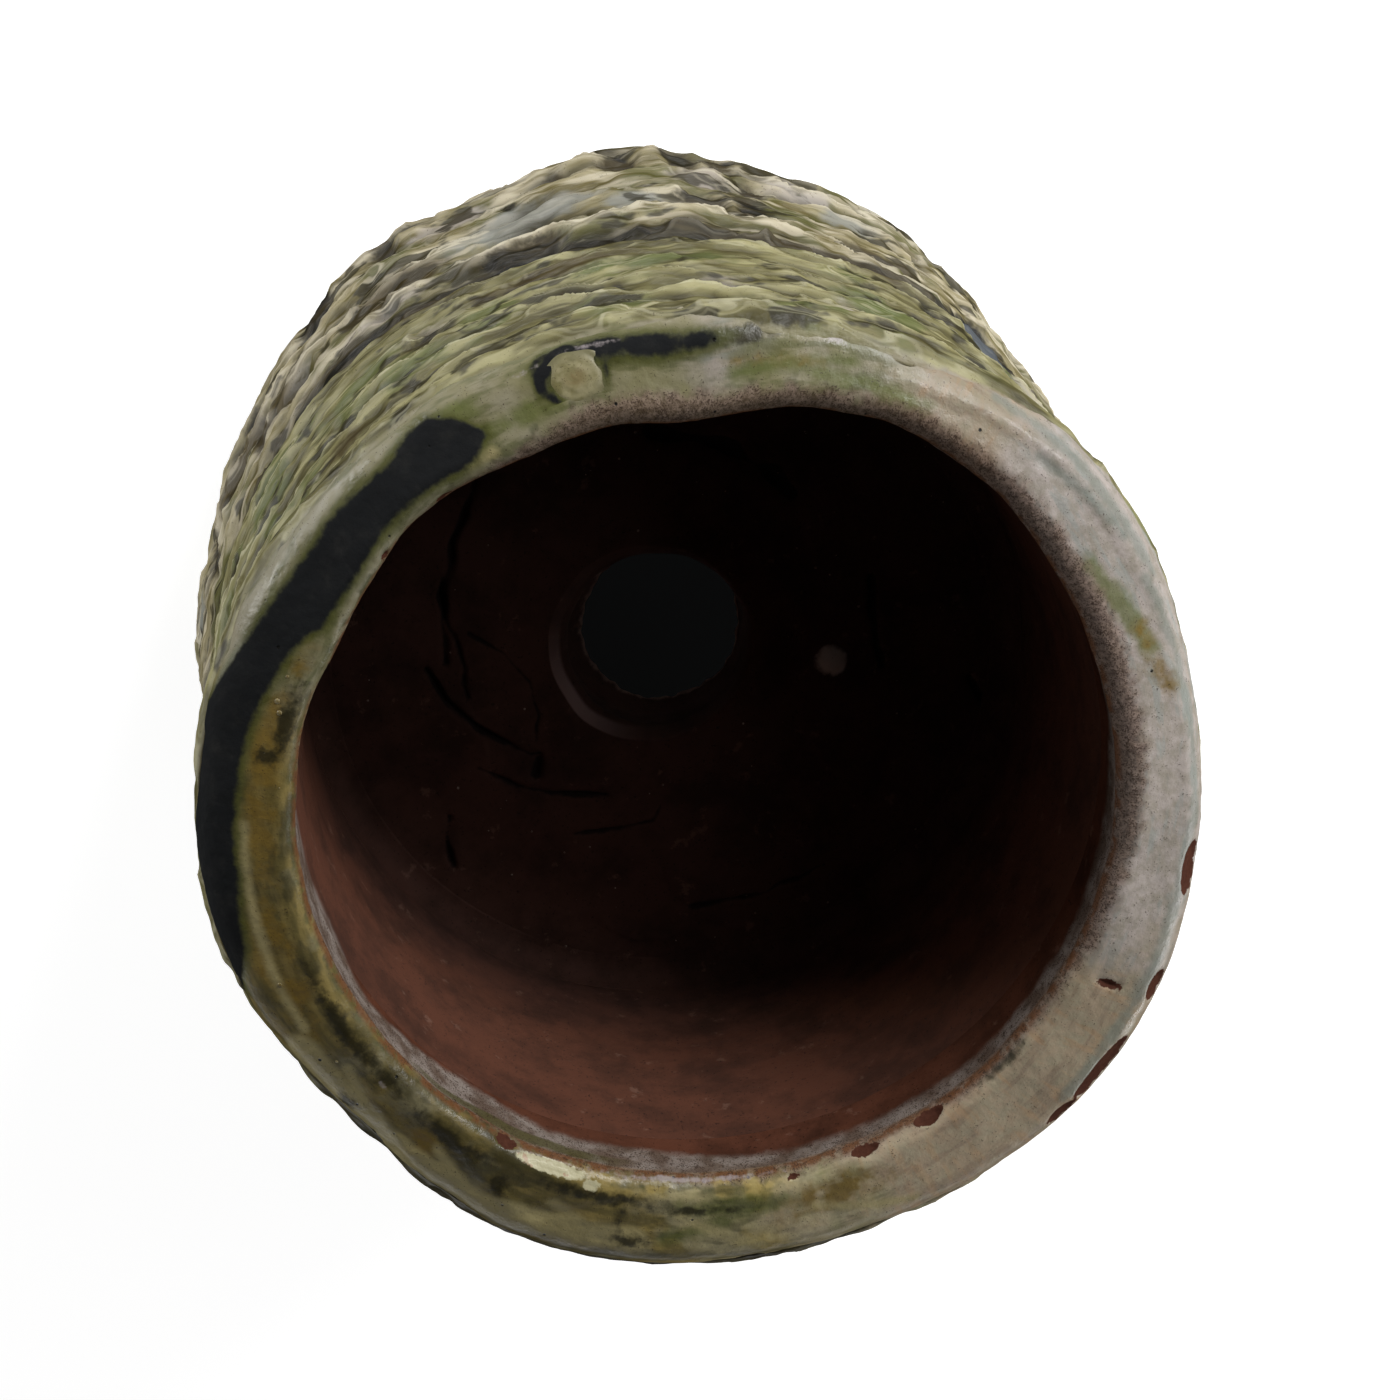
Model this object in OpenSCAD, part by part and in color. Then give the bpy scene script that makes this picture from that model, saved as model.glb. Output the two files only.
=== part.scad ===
// Footed planter pot in fired clay: a thrown wall that wears a carved bark skin in two bands,
// a rolled lip, a floor set high inside the wall with a drain hole, and three stub feet.
// Millimetres, +Z up. The pot stands on z = 0 and its axis is the Z axis.
// A bearing is an angle in plan, in degrees, from -Y (the front) turning towards +X.

/* [Pot] */
// Height from the ground to the crest of the lip
pot_h = 250; // [230:1:290]
// Inside diameter of the thrown wall
bore_d = 250; // [225:1:275]
// Thickness of the thrown wall under the lip
wall_top_t = 12; // [9:0.5:16]
// Thickness of the thrown wall at its lower edge
wall_foot_t = 21; // [16:0.5:26]

/* [Lip] */
// How far the lip reaches in over the bore
lip_overhang = 1.5; // [0.5:0.25:4]
// Width of the lip from the mouth to its outer edge
lip_w = 30; // [28:0.5:35]
// Height of the lip from its seat to its crest
lip_h = 32; // [31:0.5:42]
// Radius of the roll on the mouth side
lip_in_r = 6; // [4:0.5:7]
// Radius of the roll on the outer side
lip_out_r = 13; // [10:0.5:13.5]
// How far the outer roll lies under the crest
lip_drop = 3; // [1:0.5:5]

/* [Floor] */
// Depth from the crest of the lip to the top of the floor
inner_depth = 155; // [120:1:160]
// Thickness of the floor
floor_t = 27; // [18:1:34]
// Width of the coil pressed into each corner of the floor
seam_w = 9; // [5:0.5:14]
// Depth of the rebate round the floor's edge that a coil is pressed into
seam_bite = 3; // [1:0.5:5]

/* [Drain hole] */
// Diameter of the straight lower part of the drain hole
drain_d = 56; // [36:1:70]
// How far the hole's upper mouth is cut back on each side
drain_flare = 7; // [2:0.5:9]
// Height of the cut-back part
drain_flare_h = 11; // [6:0.5:15]

/* [Bark] */
// Mean thickness of the bark skin under the lip
bark_top_t = 7; // [5:0.5:9]
// Mean thickness of the bark skin at its lower edge
bark_foot_t = 15.5; // [12:0.5:20]
// Mean height of the seam between the two bands above their lower edge
band_seam_h = 112; // [85:1:130]
// How far the seam rises and falls as it goes round
seam_wave = 8; // [0:0.5:14]
// Depth of the groove at the seam
groove_depth = 2; // [1:0.5:4.5]
// Height of one bark ridge of the upper band
upper_pitch = 16; // [12:0.5:24]
// Height of one bark ridge of the lower band
lower_pitch = 25; // [16:0.5:32]
// Height that a ridge of the upper band stands proud
upper_relief = 1.4; // [0.5:0.1:2.5]
// Height that a ridge of the lower band stands proud
lower_relief = 1.7; // [0.5:0.1:2.5]
// Height of the broad swells near the lower edge
swell_relief = 6; // [0:0.25:7]
// Radius of the bark's rounded lower edge
under_round = 5; // [2:0.5:9]

/* [Feet] */
// Height of a foot
foot_h = 25; // [18:1:36]
// Widest diameter of a foot
foot_d = 62; // [50:1:76]
// Diameter of the flat that a foot stands on
foot_base_d = 46; // [30:1:50]
// Radius of a foot's bulge
foot_round = 9; // [6:0.5:9]
// How far a foot's bulge stands out past the bark
foot_proud = 4; // [0:0.5:8]
// Bearing of the left front foot
foot_bearing = -49; // [-60:1:-40]

/* [Knot] */
// Diameter of the round knot on the lip
knot_d = 16; // [12:0.5:20]
// Height that the knot stands proud
knot_proud = 1; // [0.5:0.25:3]
// Bearing of the knot
knot_bearing = -1; // [-20:1:20]
// Distance from the lip's outer edge to the middle of the knot
knot_inset = 13.5; // [11:0.5:17]

/* [Hidden] */
$fn = 192;

// Overrun of a cutter past the face it cuts
cut = 1;
// Number of feet, evenly spaced
foot_count = 3;

bore_r = bore_d / 2;
mouth_r = bore_r - lip_overhang;
wall_z0 = foot_h;
wall_z1 = pot_h - lip_h;
floor_top = pot_h - inner_depth;
floor_under = floor_top - floor_t;
drain_r = drain_d / 2;

// Coil: radius of its hollow face, a little flatter than a true fillet through the same two edges,
// and how far the centre of that arc lies from the bore and from the floor
seam_arc_r = 1.3 * seam_w;
seam_arc_off = seam_w / 2 + sqrt((pow(seam_arc_r, 2) - pow(seam_w, 2) / 2) / 2);

// Outer radius of the thrown wall at height z: a straight taper
function wall_share(z) = (z - wall_z0) / (wall_z1 - wall_z0);
function mix(low, high, share) = low + (high - low) * share;
function wall_out_r(z) = bore_r + mix(wall_foot_t, wall_top_t, wall_share(z));

// Mean outer radius of the bark at height z
function bark_mean_r(z) = wall_out_r(z) + mix(bark_foot_t, bark_top_t, wall_share(z));
bark_top_r = bark_mean_r(wall_z1);
bark_foot_r = bark_mean_r(wall_z0);

// Feet: centre circle, and the centre and tangent of the bulge in a foot's own profile
foot_circle_r = bark_foot_r + foot_proud - foot_d / 2;
foot_bulge = [foot_d / 2 - foot_round, foot_h - foot_round];

// Lip: centres of the two rolls in the lip's profile
lip_in_c = [mouth_r + lip_in_r, pot_h - lip_in_r];
lip_out_c = [mouth_r + lip_w - lip_out_r, pot_h - lip_drop - lip_out_r];

function bearing_xy(bearing, r) = [r * sin(bearing), -r * cos(bearing)];
function polar(r, angle) = [r * cos(angle), r * sin(angle)];
function angle_of(v) = atan2(v.y, v.x);

// Angle of the normal of the line that lies on top of two circles
function tangent_normal(c1, r1, c2, r2) = angle_of(c2 - c1) + acos((r1 - r2) / norm(c2 - c1));
// Where a line from point p touches a circle, on the circle's right as seen from p
function touch_point(p, c, r) =
    p + polar(sqrt(pow(norm(c - p), 2) - r * r), angle_of(c - p) - asin(r / norm(c - p)));

lip_top_normal = tangent_normal(lip_in_c, lip_in_r, lip_out_c, lip_out_r);
lip_top_in = lip_in_c + polar(lip_in_r, lip_top_normal);
lip_top_out = lip_out_c + polar(lip_out_r, lip_top_normal);

// Bark: facets round the pot, height of a row of facets, waves of the seam with their bearing,
// and the share of a ridge at which each band starts
bark_around = 84;
bark_row_h = 3;
seam_waves = 3;
seam_crest = -18;
upper_start = 0.52;
lower_start = 0.67;
// Broad swells of the lower edge: bearing, half width and share of swell_relief
bark_swells = [[-50, 9, 0.55], [-37, 8, 0.3], [-17, 11, 1.15], [17, 8, 0.6], [30, 8, 0.33],
    [76, 9, 0.9], [112, 14, 0.45], [150, 13, 0.7], [195, 14, 0.5], [232, 13, 0.8], [270, 13, 0.6]];
// Share of a ridge that its steep underside takes
ridge_steep = 0.25;
// Height over which a band's relief dies out at its ends
band_edge_h = 5;

function turn_gap(a, b) = abs((a - b + 540) % 360 - 180);
function bump(gap, half) = gap < 2 * half ? pow(cos(45 * gap / half), 2) : 0;
function sum(v, i = 0) = i < len(v) ? v[i] + sum(v, i + 1) : 0;
function swell(bearing, z) = swell_relief * (1 - wall_share(z)) *
    sum([for (s = bark_swells) s[2] * bump(turn_gap(bearing, s[0]), s[1])]);
function ridge_wave(bearing, z) = 0.30 * sin(2 * bearing + 20) + 0.17 * sin(5 * bearing + 2 * z)
    + 0.10 * sin(9 * bearing - 3 * z);
// Saw-tooth ridge: steep under its crest, with a long slope above, as overlapping bark lies
function saw(u) = let (share = u - floor(u))
    share < ridge_steep ? share / ridge_steep : (1 - share) / (1 - ridge_steep);
function ridge_turns(bearing, z) = ridge_wave(bearing, z)
    + (z > seam_z(bearing) ? z / upper_pitch + upper_start : z / lower_pitch + lower_start);
function ridge(bearing, z) = (z > seam_z(bearing) ? upper_relief : lower_relief)
    * (2 * saw(ridge_turns(bearing, z)) - 1) * (0.75 + 0.25 * sin(3 * bearing + 4 * z));
function seam_z(bearing) =
    wall_z0 + band_seam_h + seam_wave * cos(seam_waves * (bearing - seam_crest));
function groove(off_seam) = groove_depth * max(0, 1 - off_seam / band_edge_h);
function rounded(up) = up < under_round
    ? under_round - sqrt(pow(under_round, 2) - pow(under_round - up, 2)) : 0;
function end_fade(z, off_seam) =
    min(1, (z - wall_z0) / band_edge_h, (wall_z1 - z) / band_edge_h, off_seam / band_edge_h);
function bark_r(bearing, z) = let (off_seam = abs(z - seam_z(bearing)))
    bark_mean_r(z) + swell(bearing, z) + ridge(bearing, z) * end_fade(z, off_seam)
    - groove(off_seam) - rounded(z - wall_z0);
function bark_point(bearing, z) = concat(bearing_xy(bearing, bark_r(bearing, z)), z);

// One closed ring of bark on one side of the seam, solid down to the bore
module bark_block(above_seam) {
    mean_h = above_seam ? wall_z1 - wall_z0 - band_seam_h : band_seam_h;
    rows = round(mean_h / bark_row_h);
    n = bark_around;
    turns = [for (i = [0:n - 1]) 360 * i / n];
    function level(bearing, share) = above_seam
        ? mix(seam_z(bearing), wall_z1, share) : mix(wall_z0, seam_z(bearing), share);
    outer = [for (k = [0:rows]) for (b = turns) bark_point(b, level(b, k / rows))];
    inner = [for (k = [0, 1]) for (b = turns) concat(bearing_xy(b, bore_r), level(b, k))];
    first_in = (rows + 1) * n;
    skin = [for (k = [0:rows - 1]) for (i = [0:n - 1]) let (j = (i + 1) % n)
        each quad(k * n + i, k * n + j, (k + 1) * n + j, (k + 1) * n + i)];
    core = [for (i = [0:n - 1]) let (j = (i + 1) % n)
        each quad(first_in + j, first_in + i, first_in + n + i, first_in + n + j)];
    base = [for (i = [0:n - 1]) let (j = (i + 1) % n)
        each quad(j, i, first_in + i, first_in + j)];
    top = [for (i = [0:n - 1]) let (j = (i + 1) % n)
        each quad(rows * n + j, first_in + n + j, first_in + n + i, rows * n + i)];
    polyhedron(points = concat(outer, inner), faces = concat(skin, core, base, top), convexity = 6);
}

// Two triangles, facing the side from which a, b, c, d run clockwise
function quad(a, b, c, d) = [[a, d, c], [a, c, b]];

// The solid that the wall fills, used to shape what is pressed against its outside
module wall_envelope() {
    z0 = wall_z0 - cut;
    z1 = wall_z1 + cut;
    translate([0, 0, z0]) cylinder(h = z1 - z0, r1 = wall_out_r(z0), r2 = wall_out_r(z1));
}

module bark_band(above_seam) {
    difference() {
        bark_block(above_seam);
        wall_envelope();
    }
}

module body_wall() {
    color([0.50, 0.29, 0.23])
    difference() {
        translate([0, 0, wall_z0])
            cylinder(h = wall_z1 - wall_z0, r1 = wall_out_r(wall_z0), r2 = wall_out_r(wall_z1));
        translate([0, 0, wall_z0 - cut]) cylinder(h = wall_z1 - wall_z0 + 2 * cut, r = bore_r);
    }
}

module floor_slab() {
    color([0.32, 0.18, 0.14])
    difference() {
        union() {
            translate([0, 0, floor_under]) cylinder(h = floor_t, r = bore_r - seam_w);
            translate([0, 0, floor_under + seam_bite])
                cylinder(h = floor_t - 2 * seam_bite, r = bore_r);
        }
        translate([0, 0, floor_under - cut]) cylinder(h = floor_t + 2 * cut, r = drain_r);
        translate([0, 0, floor_top - drain_flare_h])
            cylinder(h = drain_flare_h, r1 = drain_r, r2 = drain_r + drain_flare);
    }
}

// A coil smoothed hollow in the corner between the bore and a face of the floor, and sunk in the
// floor's rebate; side is 1 above the floor and -1 below it
module seam_coil(z, side) {
    rotate_extrude() difference() {
        translate([bore_r - seam_w, side > 0 ? z - seam_bite : z - seam_w])
            square([seam_w, seam_w + seam_bite]);
        translate([bore_r - seam_arc_off, z + side * seam_arc_off]) circle(r = seam_arc_r);
    }
}

module floor_seam_coil() {
    color([0.45, 0.26, 0.20]) seam_coil(floor_top, 1);
}

module underfloor_seam_coil() {
    color([0.45, 0.26, 0.20]) seam_coil(floor_under, -1);
}

module lip_solid() {
    rotate_extrude() {
        translate(lip_in_c) circle(r = lip_in_r);
        translate(lip_out_c) circle(r = lip_out_r);
        polygon([[mouth_r, wall_z1], [bark_top_r, wall_z1], [bark_top_r, lip_out_c.y],
            lip_top_out, lip_top_in, lip_in_c, [mouth_r, lip_in_c.y]]);
    }
}

module rim_lip() {
    color([0.66, 0.64, 0.50]) lip_solid();
}

module upper_bark_band() {
    color([0.55, 0.57, 0.36]) bark_band(true);
}

module lower_bark_band() {
    color([0.70, 0.66, 0.52]) bark_band(false);
}

// A round button of clay on the lip's sloping top, shaped underneath by the lip
module knot_pellet() {
    on_lip_r = mouth_r + lip_w - knot_inset;
    slope_share = (on_lip_r - lip_top_in.x) / (lip_top_out.x - lip_top_in.x);
    on_lip = [on_lip_r, mix(lip_top_in.y, lip_top_out.y, slope_share)];
    color([0.76, 0.72, 0.50])
    difference() {
        rotate([0, 0, knot_bearing - 90]) translate([on_lip.x, 0, on_lip.y])
            rotate([0, 90 - lip_top_normal, 0])
            translate([0, 0, -knot_proud]) cylinder(h = 2 * knot_proud, r = knot_d / 2);
        lip_solid();
    }
}

module stub_foot(bearing) {
    side = touch_point([foot_base_d / 2, 0], foot_bulge, foot_round);
    translate(concat(bearing_xy(bearing, foot_circle_r), 0)) rotate_extrude() {
        intersection() {
            translate(foot_bulge) circle(r = foot_round);
            square([foot_d, foot_h]);
        }
        polygon([[0, 0], [foot_base_d / 2, 0], side, foot_bulge, [foot_bulge.x, foot_h], [0, foot_h]]);
    }
}

module foot_left_front() {
    color([0.58, 0.55, 0.44]) stub_foot(foot_bearing);
}

module foot_right_front() {
    color([0.58, 0.55, 0.44]) stub_foot(foot_bearing + 360 / foot_count);
}

module foot_back() {
    color([0.58, 0.55, 0.44]) stub_foot(foot_bearing + 2 * 360 / foot_count);
}

body_wall();
floor_slab();
floor_seam_coil();
underfloor_seam_coil();
rim_lip();
upper_bark_band();
lower_bark_band();
knot_pellet();
foot_left_front();
foot_right_front();
foot_back();
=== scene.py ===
# %% [markdown]
# # A footed planter pot, from bare frame to glazed pot
# The pot is hand-built red earthenware. Its wall wears a carved bark skin under a runny olive glaze,
# its lip is a thick smooth roll with one black brush stroke, and its inside is left as bare clay.
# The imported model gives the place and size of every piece. Here each piece gets the surface that hands,
# tools and glaze leave on it. All lengths are metres unless a name ends in `_mm`.

# %% Load the frame
import math

import bpy
import numpy as np
from mathutils import Matrix, Vector, noise


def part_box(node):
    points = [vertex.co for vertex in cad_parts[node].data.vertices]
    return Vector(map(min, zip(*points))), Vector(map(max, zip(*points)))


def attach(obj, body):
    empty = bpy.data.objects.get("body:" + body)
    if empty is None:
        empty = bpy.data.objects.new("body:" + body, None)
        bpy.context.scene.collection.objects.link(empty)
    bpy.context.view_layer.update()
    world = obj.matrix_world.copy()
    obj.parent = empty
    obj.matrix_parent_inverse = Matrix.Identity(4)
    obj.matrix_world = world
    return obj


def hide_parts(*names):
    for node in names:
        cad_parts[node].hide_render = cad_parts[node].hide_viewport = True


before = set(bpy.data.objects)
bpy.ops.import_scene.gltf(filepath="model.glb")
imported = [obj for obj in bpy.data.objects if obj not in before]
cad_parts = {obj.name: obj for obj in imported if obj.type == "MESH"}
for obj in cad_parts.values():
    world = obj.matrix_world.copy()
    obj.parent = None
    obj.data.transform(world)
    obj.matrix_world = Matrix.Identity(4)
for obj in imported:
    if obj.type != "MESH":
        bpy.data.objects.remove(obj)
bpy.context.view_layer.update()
ROOT = "root"
MM = 0.001
print("pieces in the frame:", sorted(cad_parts))

# %% [markdown]
# ## Sizes
# What can be read from the frame is read from it. The rest are the potter's own sizes: how round the
# lip is rolled, how far out the wall and its bark reach, how wide the drain hole was cut.
# A bearing is an angle in plan, in degrees. It is 0 at the front (-Y) and grows towards +X.

# %% Sizes
LIP_LOW, LIP_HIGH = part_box("rim_lip")
WALL_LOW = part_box("body_wall")[0]
FLOOR_LOW, FLOOR_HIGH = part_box("floor_slab")
CREST_MM = LIP_HIGH.z / MM
SEAT_MM = LIP_LOW.z / MM
LIP_OUT_MM = LIP_HIGH.x / MM
WALL_FOOT_MM = WALL_LOW.z / MM
BORE_MM = FLOOR_HIGH.x / MM
FLOOR_TOP_MM = FLOOR_HIGH.z / MM
FLOOR_UNDER_MM = FLOOR_LOW.z / MM
MOUTH_MM = 123.5
LIP_ROLL_IN_MM = 6.0
LIP_ROLL_OUT_MM = 13.0
LIP_DROP_MM = 3.0
# Outer radius at the foot of the wall and at its top
WALL_OUT_MM = (146.0, 137.0)
BARK_OUT_MM = (161.5, 147.5)
# Radius of the drain hole at its lower and at its upper edge
DRAIN_MM = 28.5
DRAIN_TOP_MM = 35.5
# Radius of the cylinder that the pattern of the bark is wrapped round
PATTERN_MM = 150.0
print("lip radius %.1f, bore radius %.1f, crest at %.1f mm" % (LIP_OUT_MM, BORE_MM, CREST_MM))

# %% [markdown]
# ## Into the scene
# A camera, a lamp and a mesh are all shown in the same way: an object is made for the data and linked
# to the scene. The pieces' objects stay at the origin, because the place of a piece is kept in its mesh.

# %% Objects
def add_object(name, data):
    """Shows data in the scene, as an object at the origin."""
    shown = bpy.data.objects.new(name, data)
    bpy.context.scene.collection.objects.link(shown)
    return shown


print("objects can be shown")

# %% [markdown]
# ## Camera
# The photographer leaned over the mouth of the pot. The camera looks down along the pot's axis from the
# front, tipped by about 20 degrees and rolled until the front of the pot is at the top of the picture.
# A long lens keeps the mouth nearly round.

# %% Camera
PHOTO_PX = 1400
FOCAL_PX = 2700
CAMERA_PLACE = Vector((-0.0065, -0.3025, 0.9924))
CAMERA_AIM = Vector((-0.0065, -0.0353, 0.2500))
CAMERA_ROLL = math.radians(161.3)

camera = add_object("camera", bpy.data.cameras.new("camera"))
looking = (CAMERA_AIM - CAMERA_PLACE).to_track_quat("-Z", "Y").to_matrix().to_4x4()
camera.matrix_world = Matrix.Translation(CAMERA_PLACE) @ looking @ Matrix.Rotation(CAMERA_ROLL, 4, "Z")
camera.data.lens = camera.data.sensor_width * FOCAL_PX / PHOTO_PX
bpy.context.scene.camera = camera
print("lens %.1f mm" % camera.data.lens)

# %% [markdown]
# ## A bench for nodes
# Materials and shapes here are built from nodes, and most of the nodes are the same few kinds. `Bench`
# holds one tree and adds a node in one short call. An input may be a number, a colour or a socket of
# another node, so that a chain of nodes reads like a formula. `times` and `most` take as many values as
# they are given, and `lay` puts one layer of colour over another, as a brush does.

# %% Bench
class Bench:
    """Adds nodes to one tree and joins them up."""

    def __init__(self, tree):
        self.tree = tree

    def add(self, kind, **settings):
        node = self.tree.nodes.new(kind)
        for name, value in settings.items():
            setattr(node, name, value)
        return node

    def feed(self, socket, value):
        if isinstance(value, bpy.types.NodeSocket):
            self.tree.links.new(value, socket)
        elif value is not None:
            socket.default_value = value

    def math(self, operation, a, b=None, c=None):
        node = self.add("ShaderNodeMath", operation=operation)
        for socket, value in zip(node.inputs, (a, b, c)):
            self.feed(socket, value)
        return node.outputs[0]

    def times(self, first, *others):
        """The product of sockets and numbers."""
        for other in others:
            first = self.math("MULTIPLY", first, other)
        return first

    def most(self, first, *others):
        """The largest of sockets and numbers."""
        for other in others:
            first = self.math("MAXIMUM", first, other)
        return first

    def vector(self, operation, a, b=None, scale=None):
        node = self.add("ShaderNodeVectorMath", operation=operation)
        self.feed(node.inputs[0], a)
        if operation == "SCALE":
            self.feed(node.inputs["Scale"], scale)
        elif operation != "LENGTH":
            self.feed(node.inputs[1], b)
        return node.outputs["Value" if operation == "LENGTH" else "Vector"]

    def parts(self, vector):
        node = self.add("ShaderNodeSeparateXYZ")
        self.feed(node.inputs[0], vector)
        return node.outputs

    def join(self, x, y, z):
        node = self.add("ShaderNodeCombineXYZ")
        for socket, value in zip(node.inputs, (x, y, z)):
            self.feed(socket, value)
        return node.outputs[0]

    def cloud(self, place, size, detail, roughness, stretch=None):
        """Cloudy noise from 0 to 1, with lumps about size across, or size / stretch along each axis."""
        if stretch:
            place = self.vector("MULTIPLY", place, stretch)
        node = self.add("ShaderNodeTexNoise")
        self.feed(node.inputs["Vector"], place)
        node.inputs["Scale"].default_value = 1.0 / size
        node.inputs["Detail"].default_value = detail
        node.inputs["Roughness"].default_value = roughness
        return node.outputs[0]

    def cells(self, place, size, feature="F1"):
        """The voronoi node: cells about size across."""
        node = self.add("ShaderNodeTexVoronoi", feature=feature)
        self.feed(node.inputs["Vector"], place)
        node.inputs["Scale"].default_value = 1.0 / size
        return node

    def ramp(self, value, low, high, out_low=0.0, out_high=1.0):
        """A smooth step from out_low at low to out_high at high; low may be the larger one."""
        node = self.add("ShaderNodeMapRange", interpolation_type="SMOOTHSTEP")
        for socket, given in zip(node.inputs, (value, low, high, out_low, out_high)):
            self.feed(socket, given)
        return node.outputs[0]

    def blend(self, share, a, b):
        """Colour a turning into colour b as share goes from 0 to 1."""
        node = self.add("ShaderNodeMix", data_type="RGBA")
        for socket, given in zip((node.inputs[0], node.inputs[6], node.inputs[7]), (share, a, b)):
            self.feed(socket, given)
        return node.outputs[2]

    def lay(self, colour, tone, mask, cover):
        """A tone laid over a colour where the mask is white; cover says how much it hides."""
        return self.blend(self.times(mask, cover), colour, tone)

    def group(self, tree, **values):
        """Places a node group; a value is named as its socket, with _ for a space."""
        kind = "GeometryNodeGroup" if self.tree.bl_idname == "GeometryNodeTree" else "ShaderNodeGroup"
        node = self.add(kind, node_tree=tree)
        for name, value in values.items():
            self.feed(node.inputs[name.replace("_", " ")], value)
        return node


def new_group(name, kind, inputs, outputs):
    """A node group with named sockets: its bench, its inputs and a function that sets an output."""
    tree = bpy.data.node_groups.new(name, kind)
    for label, (socket_kind, default) in inputs.items():
        socket = tree.interface.new_socket(label, in_out="INPUT", socket_type=socket_kind)
        if default is not None:
            socket.default_value = default
    for label, socket_kind in outputs.items():
        tree.interface.new_socket(label, in_out="OUTPUT", socket_type=socket_kind)
    bench = Bench(tree)
    entry = bench.add("NodeGroupInput").outputs
    leave = bench.add("NodeGroupOutput").inputs
    return bench, entry, lambda label, value: bench.feed(leave[label], value)


FLOAT, VECTOR, COLOUR = "NodeSocketFloat", "NodeSocketVector", "NodeSocketColor"
print("bench ready")

# %% [markdown]
# ## Paint names
# A glaze colour is written as it looks in daylight, from 0 to 255, and turned into the linear light that
# Blender works in.

# %% Colours
def paint(red, green, blue):
    """A colour as seen on a screen, as linear light."""
    def linear(value):
        share = value / 255
        return share / 12.92 if share <= 0.04045 else ((share + 0.055) / 1.055) ** 2.4
    return (linear(red), linear(green), linear(blue), 1.0)


RED_CLAY = paint(88, 53, 39)
RED_CLAY_DARK = paint(64, 39, 29)
FLOOR_CLAY = paint(72, 47, 39)
FLOOR_CLAY_DARK = paint(52, 34, 28)
CHIP_CLAY = paint(84, 51, 39)
OLIVE = paint(130, 125, 92)
MOSS = paint(86, 92, 46)
LILAC = paint(172, 162, 155)
TAN = paint(154, 138, 116)
GOLD = paint(134, 118, 70)
OCHRE = paint(112, 90, 38)
BROWN = paint(66, 54, 34)
INK = paint(27, 28, 29)
TAR = paint(20, 19, 16)
print("paints mixed")

# %% [markdown]
# ## Turning a ring
# Nearly every piece of a pot is a ring: the wall, the lip, the bark, the floor with its hole. One helper
# makes them all. It takes two arrays, the radius and the height of every point of the section at every
# bearing, so that a ring can be as uneven as a hand leaves it. It closes the section on itself, and it
# turns the faces outwards if the signed volume says that they point in.

# %% Ring meshes
def smooth_piece(name, points, faces):
    """A smooth mesh object from points in metres and lists of corners."""
    mesh = bpy.data.meshes.new(name)
    mesh.from_pydata(points.tolist(), [], faces)
    mesh.polygons.foreach_set("use_smooth", np.ones(len(faces), bool))
    mesh.update()
    return add_object(name, mesh)


def around(columns):
    """Bearings of the columns of a ring, in degrees, from -180."""
    return np.linspace(-180, 180, columns, endpoint=False)


def stacked(x, y, z):
    """One array of points from three arrays whose shapes may differ."""
    return np.stack(np.broadcast_arrays(x, y, z), axis=-1)


def on_pot(bearing, radius_mm, height_mm):
    """Points in metres from bearings in degrees, radii and heights."""
    turn = np.radians(bearing)
    return stacked(radius_mm * np.sin(turn), -radius_mm * np.cos(turn), height_mm).reshape(-1, 3) * MM


def facing_out(points, faces):
    """The quads of a closed piece, turned over if they face inwards."""
    a, b, c, d = (points[faces[:, k]] for k in range(4))
    volume = np.einsum("ij,ij->", a, np.cross(b, c)) + np.einsum("ij,ij->", a, np.cross(c, d))
    return faces[:, ::-1] if volume < 0 else faces


def ring_faces(rows, columns):
    """Quads between every row and the next, and between the last row and the first."""
    k, i = np.meshgrid(np.arange(rows), np.arange(columns), indexing="ij")
    k2, i2 = (k + 1) % rows, (i + 1) % columns
    corners = [k * columns + i, k * columns + i2, k2 * columns + i2, k2 * columns + i]
    return np.stack(corners, axis=-1).reshape(-1, 4)


def ring_piece(name, radius_mm, height_mm):
    """A closed ring; the arrays have a row for each point of the section and a column a bearing."""
    rows, columns = radius_mm.shape
    points = on_pot(around(columns), radius_mm, height_mm)
    return smooth_piece(name, points, facing_out(points, ring_faces(rows, columns)).tolist())


def level(columns, *values):
    """Rows of a section that keep one value each all the way round."""
    return np.array(values, float)[:, None] + np.zeros(columns)


def mark(piece, name, values, kind="FLOAT"):
    """Stores a value or a vector for every vertex of a piece, for its material to read."""
    attribute = piece.data.attributes.new(name, kind, "POINT")
    field = "vector" if kind == "FLOAT_VECTOR" else "value"
    attribute.data.foreach_set(field, np.asarray(values, np.float32).ravel())


def mark_all(piece, **fields):
    """Stores several values, each under the name that it is given here."""
    for name, values in fields.items():
        mark(piece, name, np.clip(values, -20, 60))


def finish_piece(piece, material, nodes):
    """Gives a piece its material, its body and the frame nodes that it stands for."""
    if not piece.data.materials:
        piece.data.materials.append(material)
    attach(piece, ROOT)
    if nodes:
        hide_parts(*nodes)
    print("%s: %d faces" % (piece.name, len(piece.data.polygons)))


# %% [markdown]
# ## Uneven by hand
# A hand-made ring is never quite round. `bump` is one smooth swelling at a bearing, and a list of bumps
# says where the lip was pushed in, pulled out or pressed flat. `lumps` is smooth noise for what has no
# plan, the dents that fingertips leave.

# %% Bumps and lumps
def signed_gap(a, b):
    """Degrees from bearing b to bearing a, from -180 to 180."""
    return (a - b + 540) % 360 - 180


def turn_gap(a, b):
    return np.abs(signed_gap(a, b))


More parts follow.
